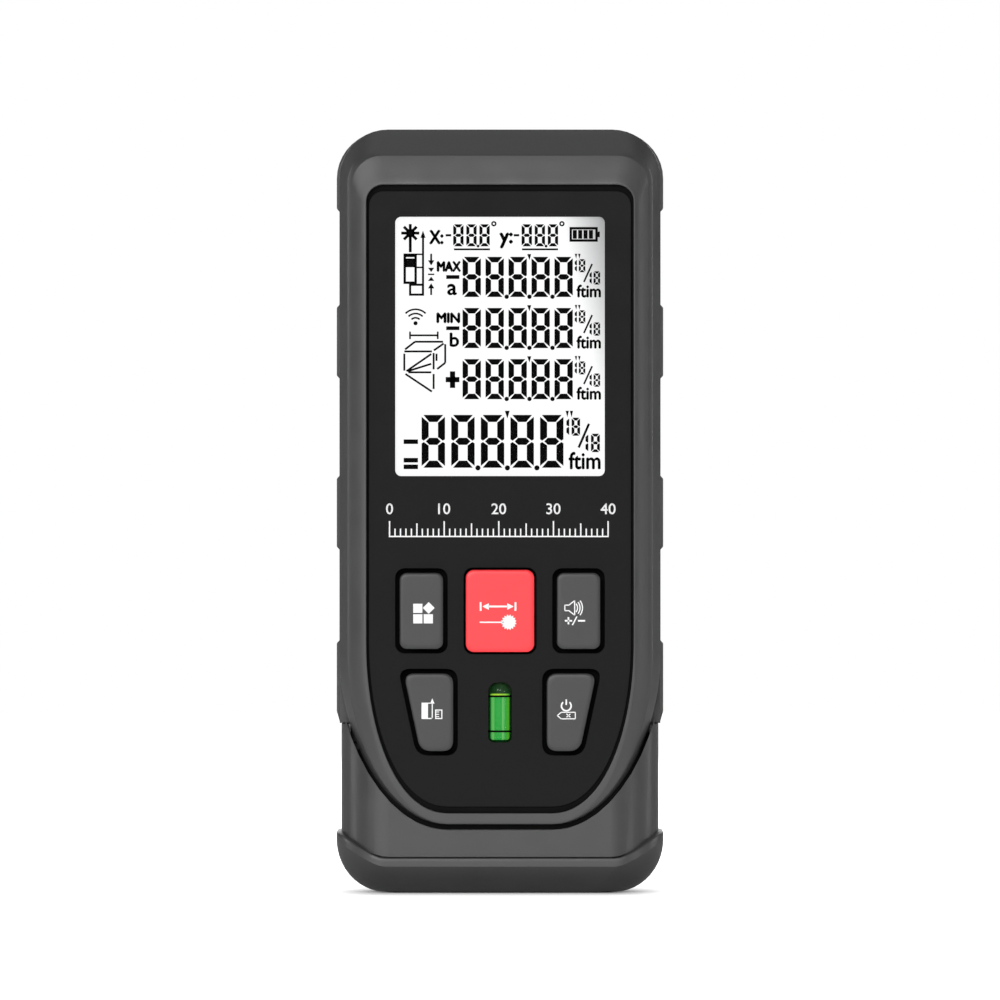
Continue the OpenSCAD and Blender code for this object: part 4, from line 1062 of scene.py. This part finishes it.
# %% Its brim
# The brim's brighter colour and glow are a painted highlight.
meniscus = turned("level_meniscus", vial_x, vial_y, [
    (fluid_r - 0.3, brim - 0.12), (fluid_r - 0.02, brim - 0.12), (fluid_r + 0.03, brim - 0.04),
    (fluid_r + 0.03, brim + 0.2), (fluid_r - 0.05, brim + 0.28), (fluid_r - 0.3, brim + 0.12)])
smooth(meniscus, 40)
place(meniscus, "housing", "vial_liquid", vial_edge)
print("liquid from", round(fluid_foot, 2), "to", round(brim, 2), "mm, radius", round(fluid_r, 2))

# %% [markdown]
# ## The grip band
#
# A band of softer rubber runs up both sides and over the top. Three pads stand out of it on each
# side, and a wide cap covers the top. Boxes joined to an arch would leave creases where they meet. So
# the band is one arch-shaped outline that is repeated through the depth, and its outer points step
# out wherever a pad begins.

# %% The arch and its pads
PAD_CENTRES = (32.8, 58.0, 84.2)
PAD_HALF = 5.2
PAD_RAMP, LOW_RAMP = 0.5, 1.6
cap_edge = top_z - 12
pad_out = band_high[0] - side_x
core_x, core_top, CORE_R = side_x - 1.63, top_z - 1.78, 5.6


def foot_ramp(centre):
    """The height over which a pad runs out at its foot: the lowest one runs out gently."""
    return LOW_RAMP if centre == PAD_CENTRES[0] else PAD_RAMP


def pad_share(z):
    """How far out the band stands at a height: 0 in the recesses, 1 on a pad or the cap."""
    share = 1.0 if z > cap_edge else max(0.0, 1 - (cap_edge - z) / PAD_RAMP)
    for centre in PAD_CENTRES:
        over = centre - PAD_HALF - z if z < centre else z - centre - PAD_HALF
        ramp = foot_ramp(centre) if z < centre else PAD_RAMP
        share = max(share, min(1.0, max(0.0, 1 - over / ramp)))
    return share


# %% Heights at which the outline turns
stops = [grip_foot]
for centre in PAD_CENTRES:
    ramp, pad_foot, pad_top = foot_ramp(centre), centre - PAD_HALF, centre + PAD_HALF
    stops += [pad_foot - ramp, pad_foot - ramp * 0.85, pad_foot - ramp * 0.1, pad_foot + 0.1,
              pad_top - 0.1, pad_top + 0.05, pad_top + 0.45, pad_top + 0.55]
stops += [cap_edge - 0.6, cap_edge - 0.45, cap_edge - 0.05, cap_edge + 0.1]
stops = sorted(stops)
print(len(stops), "heights on each side of the band")


def arch(pads, inset):
    """The band's outline, with its pads drawn out by a share of their full height."""
    grown = pads * pad_out
    heights = [z + (inset if z == grip_foot else 0) for z in stops]
    outer = [(side_x - inset + grown * pad_share(z), height) for z, height in zip(stops, heights)]
    outer += [(x + grown * max(0, (x - (side_x - CORNER_R)) / CORNER_R), z) for x, z in
              arc(side_x - CORNER_R, top_z - CORNER_R, CORNER_R - inset, 0, 90)]
    outer += [(-x, z) for x, z in reversed(outer)]
    inner = [(-core_x, height) for height in heights]
    inner += arc(CORE_R - core_x, core_top - CORE_R, CORE_R, 180, 90)
    inner += [(-x, z) for x, z in reversed(inner)]
    return outer + inner


# %% Draw the band through its depth
band_front, band_back = band_low[1], band_high[1]
PAD_START, PAD_END = 0.95, 1.15
grip = skin("grip", [upright(arch(pads, inset), y) for pads, inset, y in [
    (0, 0.14, band_front), (0, 0.04, band_front + 0.04), (0, 0, band_front + 0.14),
    (0, 0, band_front + PAD_START), (0.12, 0, band_front + PAD_START + 0.1),
    (0.9, 0, band_front + PAD_START + 0.45), (1, 0, band_front + PAD_START + 0.6),
    (1, 0, band_back - PAD_END - 0.6), (0.9, 0, band_back - PAD_END - 0.45),
    (0.12, 0, band_back - PAD_END - 0.1), (0, 0, band_back - PAD_END),
    (0, 0, band_back - 0.14), (0, 0.04, band_back - 0.04), (0, 0.14, band_back)]])

# %% Cut the optics window's opening through its top
optics_low, optics_high = box_mm("optics_window")
OPTICS_GAP, REACH = 0.1, 2
cut(grip, block("cutter", (optics_low[0] - OPTICS_GAP, optics_low[1] - OPTICS_GAP, core_top - REACH),
                (optics_high[0] + OPTICS_GAP, optics_high[1] + OPTICS_GAP, top_z + REACH)))
smooth(grip, 30)
place(grip, "housing", "band_rubber", grip_rubber, "grip_band")

# %% [markdown]
# ## The base bumper
#
# The bumper is a rubber cap on the measuring end. Its foot is bevelled at the front and round at the
# lower corners, and its upper edge rises as it goes round to the sides. A block with bevelled edges
# would come close, but its upper edge would run level. Here its outlines lie flat, one above another,
# and the upper ones climb along that edge.

# %% The bumper's seam, and the crease over its foot
bumper_low, bumper_high = box_mm("base_bumper")
half_x = bumper_high[0]
bumper_front, bumper_back = bumper_low[1], bumper_high[1]
SEAM_FRONT, SEAM_SIDE, BAND = 5.3, 9.4, 1.35
FOOT_HALF, FOOT_SLOPE = 17.6, 3.2
BACK_CREASE = 4
seam_curve = [(bumper_front, SEAM_FRONT)]
seam_curve += bezier((-13, SEAM_FRONT), (-12.5, 6.9), (-9.8, SEAM_SIDE), (-4.5, SEAM_SIDE), 24)[1:]


def seam(y):
    """Height of the bumper's upper edge at a depth."""
    for (y0, z0), (y1, z1) in zip(seam_curve, seam_curve[1:]):
        if y <= y1:
            return z0 + (z1 - z0) * max(0.0, (y - y0) / (y1 - y0))
    return SEAM_SIDE


def side_share(x):
    """0 in the middle of the meter, and 1 at its sides."""
    return min(1.0, abs(x) / half_x) ** 6


def crease_at(x, y):
    """Height of the crease over the foot: it follows the seam, but runs low across the back."""
    height = seam(y) - BAND
    return BACK_CREASE + (height - BACK_CREASE) * side_share(x) if y > 0 else height


# %% The bumper from above: at its full width, and at its foot
def plan(half, front, back, front_r, back_r, steps=14):
    return (arc(half - back_r, back - back_r, back_r, 0, 90, steps)
            + arc(back_r - half, back - back_r, back_r, 90, 180, steps)
            + arc(front_r - half, front + front_r, front_r, 180, 270, steps)
            + arc(half - front_r, front + front_r, front_r, 270, 360, steps))


def full_plan(inset=0.0):
    return plan(half_x - inset, bumper_front + inset, bumper_back - inset, CORNER_R - inset, 6 - inset)


def foot_plan(inset=0.0):
    return plan(FOOT_HALF - inset, bumper_front + FOOT_SLOPE + inset, bumper_back - FOOT_SLOPE - inset,
                4.1, 3.1)


def foot_layer(t, inset=0.0):
    """A layer from the crease (0) down to the foot (1): a straight bevel in front, round at the sides."""
    layer = []
    for (x, y), (fx, fy), (gx, gy) in zip(full_plan(), full_plan(inset), foot_plan(inset)):
        side = side_share(x)
        reach = (1 - side) * t + side * (1 - math.sqrt(max(0.0, 1 - t * t)))
        layer.append(Vector((fx + (gx - fx) * reach, fy + (gy - fy) * reach, crease_at(x, y) * (1 - t))) * MM)
    return layer


def seam_layer(share, inset):
    """A layer between the crease and the seam; share is how far it has climbed."""
    layer = []
    for (x, y), (ix, iy) in zip(full_plan(), full_plan(inset)):
        crease = crease_at(x, y)
        layer.append(Vector((ix, iy, crease + (seam(y) - crease) * share)) * MM)
    return layer


# %% Draw the bumper from its foot to its seam
layers = [foot_layer(1, 0.2)]
layers += [foot_layer(t) for t in (0.985, 0.96, 0.92, 0.86, 0.78, 0.68, 0.56, 0.44, 0.32, 0.2, 0.1, 0.03)]
layers += [seam_layer(share, inset) for share, inset in [
    (0, 0.0), (0.06, 0.0), (0.5, 0.0), (0.8, 0.0), (0.9, 0.06), (0.97, 0.2), (1.0, 0.42), (1.0, 0.95)]]
layers += [seam_layer(0.2, 0.95), foot_layer(0.4, 1.2)]
bumper = skin("bumper", layers)
smooth(bumper, 26)
place(bumper, "housing", "dark_rubber", rubber, "base_bumper")

# %% [markdown]
# ## Shells
#
# The shells are thin mouldings with bosses and pockets that the engineering model already has.
# Modelling them again would add nothing, so each is a merged copy of its part, given the soft edges
# that a moulding always has.

# %% Soft-edged copies
front_shell = from_model("shell_front", "front_shell", 0.12)

# The tray's two upper corners are drawn back a little, so that they stay under the frame.
CORNER_X, CORNER_Z, CORNER_FRONT = 19.5, 109, -10.6
for vertex in front_shell.data.vertices:
    x, y, z = vertex.co / MM
    if z > CORNER_Z and abs(x) > CORNER_X and y < CORNER_FRONT:
        vertex.co.y = CORNER_FRONT * MM
place(front_shell, "housing", "shell_plastic", shell, "front_shell")
rear_shell = from_model("shell_back", "rear_shell", 0.15)
place(rear_shell, "housing", "shell_plastic", rear_shell_finish, "rear_shell")

# %% [markdown]
# ## The battery door and its latch
#
# The door is a flat plate with a round upper edge that turns in the shell, two lugs above it, four
# finger grooves and a slot for the latch. The plate is one outline drawn through its width. The
# grooves are cut with blocks that have soft edges, so that they look moulded.

# %% The door's plate, seen from its side
door_low, door_high = box_mm("battery_door")
latch_low, latch_high = box_mm("door_latch")
HINGE_R = 0.8
hinge_y = door_high[1] - HINGE_R
lug_top = door_high[2]
hinge_z = lug_top - 1.6 - HINGE_R


def door_side(x, inset):
    back, front, low = door_high[1] - inset, door_low[1] + inset, door_low[2] + inset
    outline = [(front, low), (back - 0.25, low), (back - 0.07, low + 0.07), (back, low + 0.25)]
    outline += arc(hinge_y, hinge_z, HINGE_R - inset, 0, 150, 12)
    return [Vector((x, y, z)) * MM for y, z in outline + [(front, hinge_z - 0.4)]]


door_x = door_high[0]
edge = [(0, 0.2), (0.06, 0.06), (0.2, 0)]
door = skin("cell_door", [door_side(end - door_x, inset) for end, inset in edge]
            + [door_side(door_x - end, inset) for end, inset in reversed(edge)])

# %% Slot for the latch, and a wider one for its tongues
SLOT_X, TONGUE_REACH = 4.2, 0.5
cut(door, block("cutter", (-SLOT_X, door_low[1] + 0.4, door_low[2] - 1),
                (SLOT_X, door_high[1] + 1, latch_high[2] + 1.4), 0.15))
cut(door, block("cutter", (-SLOT_X - TONGUE_REACH, door_low[1] + 0.5, door_low[2] - 1),
                (SLOT_X + TONGUE_REACH, door_low[1] + 1.2, latch_high[2] - 0.6)))

# %% Finger grooves and lugs
GROOVE_PITCH, GROOVE_X, GROOVE_DEPTH = 2.2, 8, 0.4
for i in range(4):
    groove_top = hinge_z + HINGE_R - 7 - GROOVE_PITCH * i
    cut(door, block("cutter", (-GROOVE_X, door_high[1] - GROOVE_DEPTH, groove_top - 1),
                    (GROOVE_X, door_high[1] + 1, groove_top), 0.2))
LUG_X, LUG_HALF, LUG_THICK = 7.5, 2.4, 0.7
lugs = [block("lug", (side * LUG_X - LUG_HALF, door_low[1], hinge_z - 1.5),
              (side * LUG_X + LUG_HALF, door_low[1] + LUG_THICK, lug_top), 0.12) for side in (-1, 1)]
door = join(door, *lugs)
smooth(door, 32)
place(door, "door", "shell_plastic", rear_shell_finish, "battery_door")

# %% The latch: a slider with three grooves
NOSE = 0.8
latch_x = latch_high[0] - TONGUE_REACH
latch_front, latch_back = latch_low[1], latch_high[1]
latch_foot, latch_top = latch_low[2] + NOSE, latch_high[2]
latch = block("door_slider", (-latch_x, latch_front, latch_foot), (latch_x, latch_back, latch_top), 0.18)
for i in range(3):
    groove_foot = latch_foot + 2.4 + 1.8 * i
    cut(latch, block("cutter", (-2.8, latch_back - 0.4, groove_foot),
                     (2.8, latch_back + 1, groove_foot + 0.8), 0.15))

# %% Its nose, and the tongues that guide it
nose = block("nose", (0.3 - latch_x, latch_front, latch_low[2]),
             (latch_x - 0.3, latch_back - 0.7, latch_foot + 0.3), 0.1)
tongues = block("tongues", (latch_low[0], latch_front + 0.15, latch_foot + 1),
                (latch_high[0], latch_front + 0.65, latch_top - 2), 0.08)
latch = join(latch, nose, tongues)
smooth(latch, 32)
place(latch, "latch", "black_plastic", black_plastic, "door_latch")

# %% [markdown]
# ## The tripod socket
#
# The socket is a brass insert with a screw thread. A true helix could be cut along the bore, but its
# two ends are hard to close. Rings that widen and narrow down the bore look the same at this size.

# %% Turn the insert
insert_low, insert_high = box_mm("tripod_insert")
insert_z = (insert_low[2] + insert_high[2]) / 2
insert_r = (insert_high[2] - insert_low[2]) / 2
mouth, BORE_R, BORE_LENGTH, PITCH, THREAD_DEPTH = insert_high[1], 2.55, 6.0, 0.6, 0.28
bore = [(BORE_R + (THREAD_DEPTH if i % 2 else 0.0), mouth - 0.5 - i * PITCH / 2) for i in range(18)]
insert_profile = [(insert_r - 0.3, insert_low[1]), (insert_r, insert_low[1] + 0.3),
                  (insert_r, mouth - 0.12), (insert_r - 0.12, mouth), (BORE_R + 0.5, mouth)] + bore
insert_profile += [(BORE_R, mouth - BORE_LENGTH), (0.05, mouth - BORE_LENGTH)]
insert = skin("socket", [upright(disc(0, insert_z, radius, 48), y) for radius, y in insert_profile])
smooth(insert, 30)
place(insert, "housing", "brass", brass, "tripod_insert")

# %% [markdown]
# ## Finishes for the parts inside
#
# The parts inside have the right shape already. Drawing them again would add nothing that shows when
# the battery door opens, so they keep their shape and only get a finish.

# %% Give every remaining part its finish
inside = {
    seal_and_painted_shade_black: ["panel_seal"],
    black_plastic: ["vial_cradle"] + [f"{key}_plunger" for key in key_names],
    white_plastic: ["switch_housings", "lcd_carrier"],
    silicone_mat: ["keypad_seal"],
    display_ink: ["vial_rings"],
    diffuser: ["backlight"],
    polyimide: ["display_ribbon", "receiver_ribbon"],
    chip_black: ["processor_chip", "tilt_sensor", "buzzer"],
    tin: ["radio_module"],
    steel: ["board_screws", "optics_screws", "housing_screws"],
    brass: ["laser_barrel"],
    casting: ["optics_chassis"],
    lens_glass: ["receiver_lens", "laser_lens"],
    ceramic: ["receiver_diode"],
    smoked_window: ["optics_window"],
    label_film: ["rear_label"],
    lead_red: ["battery_leads"],
    nickel: ["battery_springs", "battery_link_plate", "battery_terminals"],
}
board_green = finish("solder_mask", (0.012, 0.13, 0.045), 0.3, grain=0.6, depth=0.01, mottle=0.3, patch=1.2)
cell_sleeve = finish("cell_sleeve", (0.03, 0.11, 0.33), 0.25, mottle=0.1)
inside[board_green] = ["main_board", "receiver_board"]
inside[cell_sleeve] = ["battery_left", "battery_right"]
for look, names in inside.items():
    for name in names:
        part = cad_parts[name]
        part.data.materials.clear()
        part.data.materials.append(look)
print(sum(len(names) for names in inside.values()), "parts finished")

# %% [markdown]
# ## Studio
#
# The meter stands on a white floor. A wide soft light comes from the camera's side, so the faces
# towards the reader are the brightest. Tall lights at the sides draw streaks along the round edges,
# and weaker ones above, behind and near the floor lift the other faces. The camera is level and far
# away, which keeps upright lines upright.

# %% What the camera sees, and what light sees
def for_camera_only(tree, seen, unseen, output):
    """Shows one shader to the camera, and another to the light that bounces round the studio."""
    rays = tree.nodes.new("ShaderNodeLightPath")
    mix = tree.nodes.new("ShaderNodeMixShader")
    tree.links.new(rays.outputs["Is Camera Ray"], mix.inputs[0])
    tree.links.new(unseen.outputs[0], mix.inputs[1])
    tree.links.new(seen.outputs[0], mix.inputs[2])
    tree.links.new(mix.outputs[0], tree.nodes[output].inputs["Surface"])


# %% Floor
FLOOR_R, FLOOR_SINK = 2.5, 0.0001
drop_selection()
bpy.ops.mesh.primitive_circle_add(vertices=96, radius=FLOOR_R, fill_type="NGON")
floor = bpy.context.object
floor.name = "floor"
floor.data.transform(Matrix.Translation((0, 0, -FLOOR_SINK)))
floor_look = bpy.data.materials.new("floor")
floor_look.use_nodes = True
nodes, links = floor_look.node_tree.nodes, floor_look.node_tree.links
base = nodes["Principled BSDF"]
base.inputs["Base Color"].default_value = (0.8, 0.8, 0.8, 1)
base.inputs["Roughness"].default_value = 0.9
base.inputs["Specular IOR Level"].default_value = 0.1
base.inputs["Emission Strength"].default_value = 1.0

# %% [markdown]
# The paper glows, but less and less towards the meter's foot, which paints a soft shadow where the
# two meet. The distance to the foot is worked out with five steps of vector maths.

# %% A glow that fades towards the foot, which paints its shadow
FOOT_HALF_SIZE, FADE_STEP, GLOW_END = (0.0165, 0.008, 0), (0.009, 0.03, 1.0), 2.5
ground = nodes.new("ShaderNodeTexCoord")
beyond = ground.outputs["Object"]
for operation, vector in (("ABSOLUTE", None), ("SUBTRACT", FOOT_HALF_SIZE), ("MAXIMUM", (0, 0, 0)),
                          ("DIVIDE", FADE_STEP), ("LENGTH", None)):
    step = nodes.new("ShaderNodeVectorMath")
    step.operation = operation
    links.new(beyond, step.inputs[0])
    if vector:
        step.inputs[1].default_value = vector
    beyond = step.outputs["Value" if operation == "LENGTH" else "Vector"]
glow = nodes.new("ShaderNodeValToRGB")
colour_stops(glow, [(where, [amount] * 3) for where, amount in (
    (0.0, 0.0), (1.0, 1.0), (0.2, 0.35), (0.45, 0.85))])
spread = nodes.new("ShaderNodeMath")
spread.operation = "DIVIDE"
spread.inputs[1].default_value = GLOW_END
links.new(beyond, spread.inputs[0])
links.new(spread.outputs["Value"], glow.inputs["Fac"])
# Less glow near the foot is a painted shadow.
links.new(glow.outputs["Color"], base.inputs["Emission Color"])
dim = nodes.new("ShaderNodeBsdfDiffuse")
dim.inputs["Color"].default_value = (0.75, 0.75, 0.75, 1)
for_camera_only(floor_look.node_tree, base, dim, "Material Output")
floor.data.materials.append(floor_look)
print("floor, m:", 2 * FLOOR_R, "across")

# %% World: white behind the meter, grey as light
world = bpy.data.worlds.new("studio")
bpy.context.scene.world = world
world.use_nodes = True
paper = world.node_tree.nodes["Background"]
room = world.node_tree.nodes.new("ShaderNodeBackground")
for background, strength in ((paper, 1.0), (room, 0.14)):
    background.inputs["Color"].default_value = (1, 1, 1, 1)
    background.inputs["Strength"].default_value = strength
for_camera_only(world.node_tree, paper, room, "World Output")


# %% Soft lights
def soft_light(name, place_at, size, power, aim=(0, 0, 0.06)):
    light = bpy.data.lights.new(name, "AREA")
    light.shape = "RECTANGLE"
    light.size, light.size_y = size
    light.energy = power
    lamp = bpy.data.objects.new(name, light)
    bpy.context.collection.objects.link(lamp)
    lamp.visible_camera = False
    lamp.location = place_at
    lamp.rotation_euler = (Vector(aim) - Vector(place_at)).to_track_quat("-Z", "Y").to_euler()
    return lamp


soft_light("key_light", (-0.45, -1.5, 0.5), (1.4, 0.7), 18.5)
soft_light("floor_bounce", (0, -0.1, 0.002), (0.3, 0.17), 0.11, aim=(0, -0.1, 1.0))
soft_light("right_strip", (0.95, -0.75, 0.2), (0.14, 0.9), 2.4)
soft_light("left_strip", (-1.0, 0.1, 0.2), (0.16, 0.9), 2.6)
soft_light("right_rim", (1.0, 0.25, 0.2), (0.16, 0.9), 2.6)
soft_light("top_light", (0, 0.1, 1.2), (0.9, 0.6), 1.2)
soft_light("back_light", (0, 1.4, 0.6), (1.4, 0.8), 8)
print(len(bpy.data.lights), "lights")

# %% Camera
CAMERA_DISTANCE = 3.0
CAMERA_HEIGHT = 0.05994
VIEW_WIDTH = 0.15337
lens = bpy.data.cameras.new("camera")
lens.sensor_width = 36
lens.lens = lens.sensor_width * CAMERA_DISTANCE / VIEW_WIDTH
lens.clip_start, lens.clip_end = 0.05, 20
camera = bpy.data.objects.new("camera", lens)
bpy.context.collection.objects.link(camera)
camera.location = (0, -CAMERA_DISTANCE, CAMERA_HEIGHT)
camera.rotation_euler = (math.radians(90), 0, 0)
bpy.context.scene.camera = camera
bpy.context.scene.view_settings.view_transform = "Standard"
print("lens, mm:", round(lens.lens))
